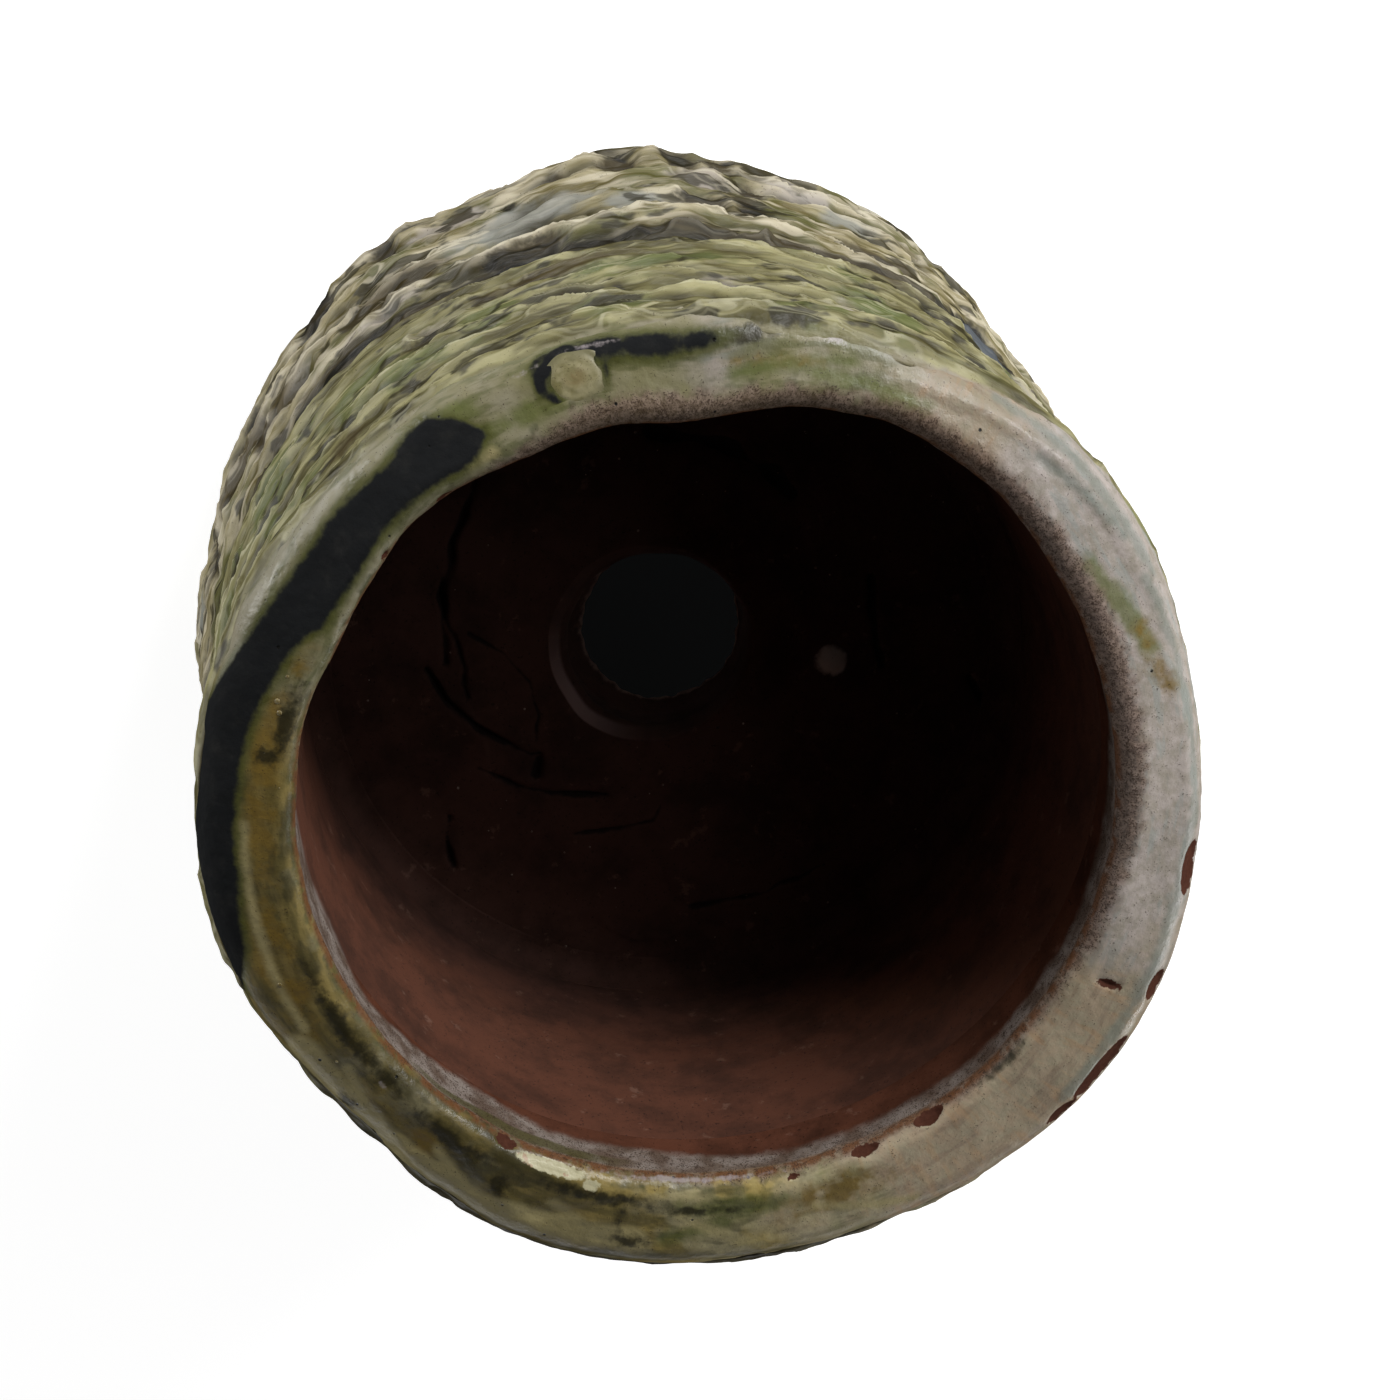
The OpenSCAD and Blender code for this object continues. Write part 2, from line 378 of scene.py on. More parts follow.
def bump(gap, half):
    """1 in the middle, one half at half, and 0 from twice half on."""
    return np.where(gap < 2 * half, np.cos(np.pi / 4 * gap / half) ** 2, 0.0)


def bumps(bearing, rows):
    """The sum of bumps, each a bearing, a half width in degrees and a height."""
    return sum(height * bump(turn_gap(bearing, middle), half) for middle, half, height in rows)


def lumps(points_mm, size_mm, seed):
    """Smooth noise from about -1 to 1 at every point of an array."""
    places = points_mm.reshape(-1, 3) / size_mm + seed
    return np.array([noise.noise(Vector(place)) for place in places]).reshape(points_mm.shape[:-1])


def spot(across_mm, along_mm, half_across, half_along):
    """How far a point lies inside an oval spot, in millimetres; outside it is negative."""
    share = np.sqrt((across_mm / half_across) ** 2 + (along_mm / half_along) ** 2)
    return (1 - share) * min(half_across, half_along)


print("a bump 10 degrees off a 10 degree half width:", float(bump(np.array(10.0), 10)))

# %% [markdown]
# ## The lip's shape
# The lip is a thick coil, rolled smooth: a small round towards the mouth, a gentle slope, and a fat round
# towards the outside. Its section is two arcs and the line that touches both. The potter did not keep it
# even. At the front the clay hangs 5 mm into the mouth, and at the back the whole roll is thicker.
# Every point also remembers how far it lies from the mouth's edge along the section, because the glaze
# marks are placed by that measure.

# %% Lip section
MOUTH_BUMPS = [(-14, 9, -5.6), (6, 8, -3.2), (-42, 8, 2.6), (-57, 8, 1.8), (24, 6, 0.8),
               (45, 9, -1.8), (-90, 13, -1.3), (110, 14, -0.6), (205, 12, 0.8)]
OUTER_BUMPS = [(152, 12, 1.8), (114, 13, -5.2), (207, 14, 1.8), (262, 16, -3.6), (75, 10, 0.6),
               (5, 26, -1.6), (-48, 10, -1.4), (-138, 10, 1.8)]
LIP_ECCENTRIC_MM = 4.0
LIP_COLUMNS = 900
# A row this close to a sharp edge keeps the smooth shading from bleeding round it
EDGE_HOLD_MM = 0.2
FACE_ROWS, ROLL_IN_ROWS, SLOPE_ROWS, ROLL_OUT_ROWS = 12, 16, 16, 34
# Where the outer roll ends under the lip, and the radius at which the lip then meets its seat
ROLL_END = math.radians(-52)
LIP_SEAT_MM = 144.0


def lip_outer(bearing):
    """Radius of the lip's outer edge."""
    return LIP_OUT_MM - LIP_ECCENTRIC_MM * np.cos(np.radians(bearing)) + bumps(bearing, OUTER_BUMPS)


def lip_section(bearing):
    """Rows of radius, height, normal angle and distance from the mouth's edge, for every bearing."""
    mouth = MOUTH_MM + bumps(bearing, MOUTH_BUMPS)
    inner = np.array([mouth + LIP_ROLL_IN_MM, np.full_like(mouth, CREST_MM - LIP_ROLL_IN_MM)])
    outer = np.array([lip_outer(bearing) - LIP_ROLL_OUT_MM,
                      np.full_like(mouth, CREST_MM - LIP_DROP_MM - LIP_ROLL_OUT_MM)])
    gap = outer - inner
    lean = np.arctan2(gap[1], gap[0]) + np.arccos((LIP_ROLL_IN_MM - LIP_ROLL_OUT_MM) / np.hypot(*gap))
    rows = []
    hold = EDGE_HOLD_MM / (CREST_MM - SEAT_MM)
    for share in np.insert(np.linspace(0, 1, FACE_ROWS - 1, endpoint=False), 1, hold):
        ease = share ** 2
        rows.append((BORE_MM + (mouth - BORE_MM) * ease, SEAT_MM + (inner[1] - SEAT_MM) * share,
                     np.full_like(mouth, np.pi)))
    for share in np.linspace(0, 1, ROLL_IN_ROWS):
        angle = np.pi + (lean - np.pi) * share
        rows.append((inner[0] + LIP_ROLL_IN_MM * np.cos(angle),
                     inner[1] + LIP_ROLL_IN_MM * np.sin(angle), angle))
    start = rows[-1]
    end = (outer[0] + LIP_ROLL_OUT_MM * np.cos(lean), outer[1] + LIP_ROLL_OUT_MM * np.sin(lean))
    for share in np.linspace(0, 1, SLOPE_ROWS + 1, endpoint=False)[1:]:
        rows.append((*(a + (b - a) * share for a, b in zip(start, end)), lean))
    for share in np.linspace(0, 1, ROLL_OUT_ROWS):
        angle = lean + (ROLL_END - lean) * share
        rows.append((outer[0] + LIP_ROLL_OUT_MM * np.cos(angle),
                     outer[1] + LIP_ROLL_OUT_MM * np.sin(angle), angle))
    rows.append((np.full_like(mouth, LIP_SEAT_MM), np.full_like(mouth, SEAT_MM),
                 np.full_like(mouth, -np.pi / 2)))
    radius, height, normal = (np.array([row[k] for row in rows]) for k in range(3))
    steps = np.hypot(np.diff(radius, axis=0), np.diff(height, axis=0))
    along = np.concatenate([np.zeros((1, len(mouth))), np.cumsum(steps, axis=0)])
    along -= along[FACE_ROWS]
    return radius, height, normal, along


lip_bearing = around(LIP_COLUMNS)
lip_r, lip_z, lip_normal, lip_along = lip_section(lip_bearing)
equator_row = np.argmin(np.abs(lip_normal), axis=0)
lip_from_edge = lip_along[equator_row, np.arange(LIP_COLUMNS)] - lip_along
print("lip width %.1f to %.1f mm" % ((lip_outer(lip_bearing) - MOUTH_MM).min(),
                                     (lip_outer(lip_bearing) - MOUTH_MM).max()))

# %% [markdown]
# ## What was done to the lip
# One wide brush of black runs from a blunt head round to the left. Smaller marks are ovals: dabs of
# brown, chips that show the red body, one long chip that shows cream slip. Each mark is kept as a
# distance in millimetres from its own edge, positive inside. The mesh is coarse next to a crisp brush
# edge, but a distance varies smoothly between two vertices, so the material can still draw the edge
# sharply and fray it with noise.

# %% Lip marks
LIP_MEAN_MM = 137.0
STROKE_NEAR = [(11.5, 15), (14, 10.5), (17, 8.6), (28, 9.4), (37, 8.6), (44, 10.4), (47, 14.4), (53, 17),
               (62, 19.8), (71, 21.2), (80, 22.6), (88, 26), (93, 34)]
STROKE_FAR = [(11.5, 17), (13.5, 22.5), (16.5, 27.5), (19.5, 25.5), (23.5, 21.6), (30, 23.4), (37, 23.7),
              (44, 26), (50, 29), (56, 34), (62, 40), (93, 44)]
# Bearing, distance from the mouth's edge, half width round the lip, half width across it
INK_SPOTS = [(-10.0, 26.8, 11, 3.5), (-5.0, 27.6, 7, 3.2), (-15.5, 27.0, 6, 2.4)]
BROWN_SPOTS = [(-20, 27.0, 10, 2.8), (-8, 24.0, 13, 1.6), (209, 4.6, 9, 1.4), (57, 8.6, 11, 2.6),
               (62.5, 13.0, 2.6, 3.4), (146, 11, 18, 2.2), (133.3, 18.3, 3.2, 3.2), (104, 10, 24, 2.4),
               (124, 12, 12, 2.8), (150, 20, 1.0, 4.5), (112, 27, 4, 2.5), (160, 13.5, 12, 1.6),
               (152, 27, 5, 1.8)]
MOUTH_CHIPS = [(131.3, 3.2, 4.3, 2.5), (173.8, 5.4, 2.2, 1.1), (184.8, 4.4, 5.2, 2.1),
               (195, 3.8, 5.6, 2.7), (225.4, 17.5, 1.5, 5.4), (31.5, 3.4, 2.0, 1.5),
               (20.5, 3.4, 3.0, 0.9)]
# Bearing, distance in from the outer edge, half width round the lip, half width across it
EDGE_CHIPS = [(215, 11.4, 12, 3.8), (208, 10.6, 5, 3.0), (227, 11.0, 5, 3.4), (242, 10.2, 8.5, 4.2),
              (87, 3.0, 9, 2.6), (167, 8.5, 4, 2.0)]
CREAM_SPOTS = [(138.5, 5.6, 12.5, 2.5), (144.8, 8.0, 3.0, 1.6)]
SCUFF_SPOTS = [(-31.5, 24.6, 2.8, 1.4), (-4, 28.6, 7, 0.8), (5, 27, 4, 0.7), (158, 2.8, 28, 1.1),
               (112, 12.2, 1.2, 0.6)]
GREEN_SMEARS = [(14, 24, 7, 4), (165, 13, 18, 5), (6, 16, 6, 3)]
OCHRE_SMEARS = [(66, 13.5, 34, 5.2), (90, 18, 26, 6.5), (180, 15, 16, 7), (122, 21, 6, 7),
                (48, 12, 10, 3)]
# Smears dragged along a line: bearing and distance at both ends, half width
GREEN_DRAGS = [(-74, 12, -88, 20, 3.4), (-30, 15, -44, 12, 2.6), (-20, 16, -34, 19, 2.2),
               (2, 15, 14, 17, 2.0), (156, 24, 172, 12, 2.4)]
OCHRE_DRAGS = [(-85, 18, -94, 22.5, 2.6), (-20, 20, -30, 18, 1.2), (168, 24, 184, 13, 2.0)]
PALE_DRAGS = [(108, 18, 121, 30, 2.0), (124, 18, 136, 31, 1.8), (141, 18, 152, 30, 1.8),
              (158, 16, 168, 29, 1.6), (103, 26, 128, 28, 6.0), (130, 28, 152, 26, 5.0),
              (72, 19, 100, 21, 1.4), (176, 18, 188, 30, 1.4), (12, 10, 24, 12, 1.6)]
BLUE_DRAGS = [(-52, 27, -80, 30, 1.8), (-80, 27, -112, 29, 1.8), (-112, 28, -150, 30, 2.0),
              (-60, 20, -74, 27, 1.4)]
# Where the middle of the knot lies: its bearing and its distance from the mouth's edge
KNOT_BEARING = -1.0
KNOT_FROM_EDGE_MM = 20.5
# The black ring round it: its radius, and how much flatter it is across the lip than round it
KNOT_RING_MM = 9.2
KNOT_RING_FLAT = 1.15


def nearest(spots, distance):
    """How far each point of the lip lies inside the nearest of a list of spots."""
    found = np.full(lip_along.shape, -20.0)
    for middle, off, half_round, half_across in spots:
        round_mm = np.radians(signed_gap(lip_bearing, middle)) * LIP_MEAN_MM
        found = np.maximum(found, spot(distance - off, round_mm, half_across, half_round))
    return found


def off_line(b0, s0, b1, s1):
    """Distance of every point of the lip from a straight line on its unrolled surface."""
    start = np.array([np.radians(b0) * LIP_MEAN_MM, s0])
    way = np.array([np.radians(b1) * LIP_MEAN_MM, s1]) - start
    bearing = (lip_bearing - b0 + 180) % 360 - 180 + b0
    round_mm = np.radians(bearing) * LIP_MEAN_MM - start[0]
    off = lip_along - start[1]
    share = np.clip((round_mm * way[0] + off * way[1]) / (way @ way), 0, 1)
    return np.hypot(round_mm - share * way[0], off - share * way[1])


def dragged(drags):
    """How far each point of the lip lies inside the nearest of a list of dragged smears."""
    return np.maximum.reduce([half - off_line(*ends) for *ends, half in drags])


def brush_stroke():
    near = np.interp(lip_bearing, *np.transpose(STROKE_NEAR))
    far = np.interp(lip_bearing, *np.transpose(STROKE_FAR))
    inside = np.minimum(lip_along - near, far - lip_along)
    head = np.radians(lip_bearing - STROKE_NEAR[0][0]) * LIP_MEAN_MM
    tail = np.radians(STROKE_NEAR[-1][0] - lip_bearing) * LIP_MEAN_MM
    return np.minimum(inside, np.minimum(head, tail))


def knot_ring():
    """A pooled black ring round the knot, open towards the mouth."""
    round_mm = np.radians(lip_bearing - KNOT_BEARING) * LIP_MEAN_MM
    off = lip_along - KNOT_FROM_EDGE_MM
    reach = np.hypot(round_mm, off * KNOT_RING_FLAT)
    thick = 0.9 + 1.9 * np.clip(off / 8, -1, 1) + 0.9 * np.clip(round_mm / 9, -1, 1)
    thick = thick + 1.1 * np.sin(np.arctan2(off, round_mm) * 5 + 1) * np.sin(reach * 1.3)
    return np.where(off > -6, thick - np.abs(reach - KNOT_RING_MM), -20.0)


lip_ink = np.maximum.reduce([brush_stroke(), knot_ring(), nearest(INK_SPOTS, lip_along)])
lip_brown = nearest(BROWN_SPOTS, lip_along)
lip_chip = np.maximum(nearest(MOUTH_CHIPS, lip_along), nearest(EDGE_CHIPS, lip_from_edge))
lip_cream = nearest(CREAM_SPOTS, lip_along)
lip_scuff = nearest(SCUFF_SPOTS, lip_along)
lip_green = np.maximum(nearest(GREEN_SMEARS, lip_along), dragged(GREEN_DRAGS))
lip_ochre = np.maximum(nearest(OCHRE_SMEARS, lip_along), dragged(OCHRE_DRAGS))
lip_blue = dragged(BLUE_DRAGS)
lip_pale = dragged(PALE_DRAGS)
print("the stroke covers %.1f %% of the lip" % (100 * (lip_ink > 0).mean()))

# %% [markdown]
# ## Building the lip
# The section is pushed along its own normals: broad lumps from squeezing, small ones from a wet sponge,
# a shallow dish for every chip, and a few folds where the clay was dragged sideways.

# %% Lip mesh
LIP_LUMP_MM = 0.75
LIP_RIPPLE_MM = 0.16
CHIP_DEPTH_MM = 1.0
# Lumps may lift the crest by this much
CREST_LIFT_MM = 0.8
# Bearing and distance where a fold starts and ends, and how far it stands up
FOLDS = [(108, 12, 122, 26, 0.55), (126, 12, 139, 27, 0.6), (138, 26, 150, 12, -0.4),
         (152, 27, 160, 14, 0.4), (-62, 24, -40, 17, 0.5), (-88, 23, -60, 20, -0.4),
         (-112, 27, -92, 25, 0.5), (160, 27, 176, 13, 0.35)]
FOLD_HALF_MM = 2.6


def fold_heights():
    return sum(height * np.exp(-(off_line(*ends) / FOLD_HALF_MM) ** 2) for *ends, height in FOLDS)


def lip_relief():
    """How far each point of the lip is pushed out, and its place on the lip rolled out flat."""
    turn = np.radians(lip_bearing)
    flat = stacked(LIP_MEAN_MM * np.sin(turn), LIP_MEAN_MM * np.cos(turn), lip_along)
    relief = LIP_LUMP_MM * lumps(flat, 17.0, 3.7) + LIP_RIPPLE_MM * lumps(flat, 3.2, 9.1) + fold_heights()
    relief -= CHIP_DEPTH_MM * np.clip(lip_chip / 0.9, 0, 1) + 0.5 * np.clip(lip_cream / 0.8, 0, 1)
    relief += 0.12 * np.clip(lip_ink / 1.5, 0, 1)
    settle = np.clip((lip_z - SEAT_MM) / 6, 0, 1)
    return relief * settle, flat


lip_rise, lip_place = lip_relief()
rim = ring_piece("rim_lip_glazed", lip_r + lip_rise * np.cos(lip_normal),
                 np.minimum(lip_z + lip_rise * np.sin(lip_normal), CREST_MM + CREST_LIFT_MM))
mark_all(rim, ink=lip_ink, brown=lip_brown, chip=lip_chip, cream=lip_cream, scuff=lip_scuff,
         green=lip_green, ochre=lip_ochre, blue=lip_blue, pale=lip_pale, along=lip_along)
mark(rim, "place", lip_place, "FLOAT_VECTOR")

# %% [markdown]
# ## Where each glaze was poured
# The lip carries quiet base colours that run into each other: olive at the front and left, a lilac-grey
# on the right, a warm tan at the lower right, and old gold at the left and below. Each is a share that
# depends on the bearing. `LIP_PAINTED_LIGHT_AND_SHADE` scales how bright the coat is at each bearing:
# it is painted light where the factor is above 1 and painted shade where it is below 1.

# %% Glaze shares
# Bearing, half width in degrees and share; for the mottled band, millimetres of width
LILAC_POUR = [(-98, 32, 1.0), (-60, 18, 0.9), (238, 16, 0.8), (-16, 14, 0.3)]
TAN_POUR = [(205, 24, 1.1), (-48, 9, 0.8)]
GOLD_POUR = [(72, 16, 1.0), (112, 24, 1.0), (155, 18, 1.0)]
MOTTLE_BAND = [(-75, 24, 9.0), (-40, 16, 7.0), (-8, 16, 11.5), (20, 8, 1.0), (200, 60, 2.5),
               (120, 30, -1.0), (250, 20, 5.5)]
# Bearing and brightness factor: painted light above 1, painted shade below 1
LIP_PAINTED_LIGHT_AND_SHADE = [(-180, 1.25), (-155, 0.96), (-130, 0.84), (-95, 0.90), (-70, 0.78), (-45, 0.75),
            (-28, 0.84), (-10, 0.81), (12, 0.81), (30, 0.76), (45, 0.72), (60, 0.76), (90, 0.78),
            (108, 0.74), (128, 0.56), (146, 1.0), (165, 1.5), (180, 1.25)]
# Bearing, and how far below the crest the glaze of the lip runs down the inside wall
CURTAIN = [(-180, 15), (-160, 15), (-130, 17), (-110, 21), (-60, 18), (0, 15), (60, 24), (78, 38),
           (94, 40), (105, 24), (125, 30), (138, 23), (155, 23), (168, 17), (180, 15)]


def curtain_height(bearing):
    return CREST_MM - np.interp(bearing, *np.transpose(CURTAIN))


# The glaze shares, with the painted light and shade by bearing kept under "tone"
lip_shares_and_painted_light = {"lilac": np.clip(bumps(lip_bearing, LILAC_POUR), 0, 1),
              "tan": np.clip(bumps(lip_bearing, TAN_POUR), 0, 1),
              "gold": np.clip(bumps(lip_bearing, GOLD_POUR), 0, 1),
              "tone": np.interp(lip_bearing, *np.transpose(LIP_PAINTED_LIGHT_AND_SHADE))}
for label, share in lip_shares_and_painted_light.items():
    mark(rim, label, np.broadcast_to(share, lip_along.shape))
mottle_to = 2.5 + bumps(lip_bearing, MOTTLE_BAND)
mark(rim, "mottle", np.clip(mottle_to - lip_along, -20, 20))
mark(rim, "dip", bump(turn_gap(lip_bearing, 132), 20) * np.clip(1.5 - np.abs(lip_along + 5) / 4.5, 0, 1))
mark(rim, "bare", np.where(lip_along < 0, curtain_height(lip_bearing) - lip_z, -20.0))
print("the glaze runs down inside by %.0f to %.0f mm" % (CREST_MM - curtain_height(lip_bearing).max(),
                                                        CREST_MM - curtain_height(lip_bearing).min()))

# %% [markdown]
# ## Shared finishes
# Three effects turn up on several pieces, so each is a node group. `Clay skin` is bare fired clay with
# its fine dark grit. `Kiln specks` scatters small dark dots of iron. `Pinholes` are the tiny craters
# where gas left the glaze.
# A group hands out colours, masks and heights only. The shader that uses them stays in the material.

# %% Clay skin
def make_clay_skin():
    bench, given, put = new_group(
        "Clay skin", "ShaderNodeTree",
        {"Place": (VECTOR, None), "Light": (COLOUR, RED_CLAY), "Dark": (COLOUR, RED_CLAY_DARK)},
        {"Colour": COLOUR, "Roughness": FLOAT, "Height": FLOAT})
    place = given["Place"]
    clouds = bench.cloud(place, 22.0, 5.0, 0.65)
    rubbed = bench.blend(bench.ramp(clouds, 0.30, 0.62), given["Dark"], given["Light"])
    grit = bench.ramp(bench.cloud(place, 1.1, 2.0, 0.6), 0.63, 0.69)
    gritty = bench.lay(rubbed, paint(34, 21, 17), grit, 0.7)
    bloom = bench.ramp(bench.cloud(place, 9.0, 5.0, 0.7), 0.61, 0.70)
    put("Colour", bench.lay(gritty, paint(150, 118, 102), bloom, 0.2))
    put("Roughness", bench.ramp(clouds, 0.3, 0.7, 0.92, 0.78))
    fine = bench.cloud(place, 1.3, 3.0, 0.6)
    put("Height", bench.math("MULTIPLY_ADD", grit, -0.5, fine))
    return bench.tree


CLAY_SKIN = make_clay_skin()

# %% Specks and pinholes
def make_specks():
    bench, given, put = new_group(
        "Kiln specks", "ShaderNodeTree",
        {"Place": (VECTOR, None), "Amount": (FLOAT, 0.5)}, {"Mask": FLOAT})
    fine = bench.cloud(given["Place"], 0.55, 1.0, 0.5)
    coarse = bench.cloud(given["Place"], 2.6, 2.0, 0.5)
    both = bench.math("ADD", bench.times(fine, 0.7), bench.times(coarse, 0.3))
    edge = bench.math("MULTIPLY_ADD", given["Amount"], -0.16, 0.65)
    put("Mask", bench.ramp(bench.math("SUBTRACT", both, edge), 0.0, 0.03))
    return bench.tree


def make_pinholes():
    bench, given, put = new_group(
        "Pinholes", "ShaderNodeTree",
        {"Place": (VECTOR, None), "Chance": (FLOAT, 0.1)}, {"Mask": FLOAT})
    cells = bench.cells(given["Place"], 6.0)
    chosen = bench.math("LESS_THAN", bench.parts(cells.outputs["Color"])[0], given["Chance"])
    crater = bench.ramp(cells.outputs["Distance"], 0.11, 0.05)
    put("Mask", bench.times(crater, chosen))
    return bench.tree


SPECKS = make_specks()
PINHOLES = make_pinholes()
print("shared finishes:", [g.name for g in (CLAY_SKIN, SPECKS, PINHOLES)])

# %% [markdown]
# ## Materials that start the same way
# Every material here begins with one Principled shader and reads its place either from the piece's own
# attribute, in millimetres, or from Object coordinates.

# %% New material
def new_material(name):
    material = bpy.data.materials.new(name)
    material.use_nodes = True
    bench = Bench(material.node_tree)
    shader = material.node_tree.nodes["Principled BSDF"]
    return material, bench, shader


def read(bench, name):
    """The value that a piece keeps under this name."""
    return bench.add("ShaderNodeAttribute", attribute_name=name).outputs["Fac"]


def read_place(bench, name):
    return bench.add("ShaderNodeAttribute", attribute_name=name).outputs["Vector"]


def object_mm(bench):
    """Object coordinates in millimetres."""
    return bench.vector("SCALE", bench.add("ShaderNodeTexCoord").outputs["Object"], scale=1 / MM)


def frayed(bench, field, fray, size_mm, place, low, high):
    """A mask from a distance field, or from the name of one, whose edge is frayed by noise."""
    if isinstance(field, str):
        field = read(bench, field)
    wander = bench.math("SUBTRACT", bench.cloud(place, size_mm, 3.0, 0.6), 0.5)
    return bench.ramp(bench.math("MULTIPLY_ADD", wander, fray, field), low, high)


def smeared(bench, place, colour, name, fray, size_mm, low, high, tone, cover):
    """A colour with one kept mark laid over it, in a tone of its own and with a frayed edge."""
    return bench.lay(colour, tone, frayed(bench, name, fray, size_mm, place, low, high), cover)


def glaze_gloss(bench, shader, rough, shine):
    """Glaze shines where it is looked at squarely and scatters where the eye skims over it."""
    facing = bench.add("ShaderNodeLayerWeight")
    facing.inputs["Blend"].default_value = 0.5
    skim = bench.ramp(facing.outputs["Facing"], 0.38, 0.78)
    bench.feed(shader.inputs["Roughness"], bench.most(rough, bench.times(skim, 0.9)))
    square = bench.math("SUBTRACT", 1.0, bench.times(skim, 0.85))
    bench.feed(shader.inputs["Specular IOR Level"], bench.times(square, shine))


def set_bump(bench, shader, height, distance_mm):
    node = bench.add("ShaderNodeBump")
    node.inputs["Strength"].default_value = 1.0
    node.inputs["Distance"].default_value = distance_mm * MM
    bench.feed(node.inputs["Height"], height)
    bench.feed(shader.inputs["Normal"], node.outputs["Normal"])


print("materials can start")

# %% [markdown]
# ## Bare clay
# The inside is smoothed but unglazed, so it is rough and has no shine to speak of. The wall and the
# floor share the clay skin group with different reds.

# %% Clay materials
# Heights above the floor between which the darker clay of the floor turns into that of the wall
DARK_FLOOR_FADE_MM = (4.0, 62.0)
# How far that change wanders up and down
FADE_WANDER_MM = 24.0
CLAY_SHINE = 0.18


def wall_colour(bench, place):
    """Darker clay low down, lighter red clay above, by the height of the place."""
    wandered_height = bench.math("MULTIPLY_ADD", bench.cloud(place, 22.0, 3.0, 0.6), FADE_WANDER_MM, bench.parts(place)[2])
    upper_share = bench.ramp(wandered_height, *(FLOOR_TOP_MM + fade_mm + FADE_WANDER_MM / 2 for fade_mm in DARK_FLOOR_FADE_MM))
    light = bench.blend(upper_share, FLOOR_CLAY, RED_CLAY)
    dark = bench.blend(upper_share, FLOOR_CLAY_DARK, RED_CLAY_DARK)
    return bench.group(CLAY_SKIN, Place=place, Light=light, Dark=dark)


def film_tone(bench, place):
    """Glaze so thin that it fired to a lilac-grey film with dark grit in it."""
    soft = bench.blend(bench.ramp(bench.cloud(place, 10.0, 2.0, 0.5), 0.36, 0.64), paint(94, 80, 71),
                       paint(136, 126, 119))
    grit = bench.group(SPECKS, Place=place, Amount=0.45).outputs["Mask"]
    return bench.lay(soft, paint(58, 42, 36), grit, 0.55)


def glaze_curtain(bench, place, colour, roughness):
    """The thin glaze that ran from the lip a little way down the inside."""
    mask = frayed(bench, "curtain", 7.0, 9.0, place, -3.6, 4.4)
    colour = bench.lay(colour, film_tone(bench, place), mask, 0.8)
    return colour, bench.math("MULTIPLY_ADD", mask, -0.35, roughness)


def clay_material(name, bump_mm, curtained):
    material, bench, shader = new_material(name)
    place = object_mm(bench)
    skin = wall_colour(bench, place)
    colour, roughness = skin.outputs["Colour"], skin.outputs["Roughness"]
    if curtained:
        colour, roughness = glaze_curtain(bench, place, colour, roughness)
    bench.feed(shader.inputs["Base Color"], colour)
    bench.feed(shader.inputs["Roughness"], roughness)
    shader.inputs["Specular IOR Level"].default_value = CLAY_SHINE
    set_bump(bench, shader, skin.outputs["Height"], bump_mm)
    return material


WALL_CLAY = clay_material("wall_clay", 0.12, True)
SEAM_CLAY = clay_material("seam_clay", 0.12, False)

# %% [markdown]
# ## Glazed lip
# The order of the layers is the order of the potter's work: base glaze, coloured smears, the mottled
# band where glaze ran thin over the mouth's edge, black brush work, and last the chips and scuffs that
# years of use left. Each call lays one more layer over the colour so far.

# %% Lip glaze
def lip_base(bench, place, prefix=""):
    """The quiet base colours of the lip, scaled by painted light and shade; prefix names the shares that
    a piece keeps.
    """
    slow = bench.cloud(place, 24.0, 3.0, 0.6)
    fine = bench.cloud(place, 5.0, 4.0, 0.65)
    runs = bench.cloud(place, 4.0, 3.0, 0.6, stretch=(1.0, 1.0, 0.22))
    rings = bench.cloud(place, 5.0, 3.0, 0.6, stretch=(0.25, 0.25, 1.0))
    olive = bench.blend(bench.ramp(slow, 0.38, 0.62), OLIVE, paint(146, 140, 116))
    olive = bench.lay(olive, paint(96, 97, 62), bench.ramp(rings, 0.48, 0.60), 0.7)
    gold = bench.blend(bench.ramp(rings, 0.38, 0.62), GOLD, paint(98, 88, 52))
    gold = bench.lay(gold, paint(140, 133, 104), bench.ramp(slow, 0.5, 0.62), 0.7)
    dusk = bench.cloud(place, 11.0, 3.0, 0.6, stretch=(0.5, 0.5, 1.2))
    gold = bench.lay(gold, paint(56, 54, 36), bench.ramp(dusk, 0.50, 0.62), 0.62)
    lilac = bench.blend(bench.ramp(fine, 0.35, 0.65), LILAC, paint(150, 142, 130))
    lilac = bench.lay(lilac, paint(148, 150, 144), bench.ramp(rings, 0.50, 0.62), 0.7)
    warm = bench.blend(bench.ramp(fine, 0.35, 0.65), TAN, paint(150, 140, 118))
    warm = bench.lay(warm, paint(126, 108, 92), bench.ramp(rings, 0.50, 0.62), 0.5)
    warm = bench.lay(warm, paint(166, 132, 96), bench.ramp(runs, 0.52, 0.66), 0.35)
    wander = bench.math("MULTIPLY_ADD", slow, 1.2, -0.6)

    def share(name):
        return bench.ramp(bench.math("ADD", read(bench, prefix + name), wander), 0.2, 0.75)

    colour = bench.blend(share("gold"), olive, gold)
    colour = bench.blend(share("lilac"), colour, lilac)
    colour = bench.blend(share("tan"), colour, warm)
    # The colour is scaled by the painted light and shade kept under "tone"
    return bench.vector("SCALE", colour, scale=read(bench, prefix + "tone"))


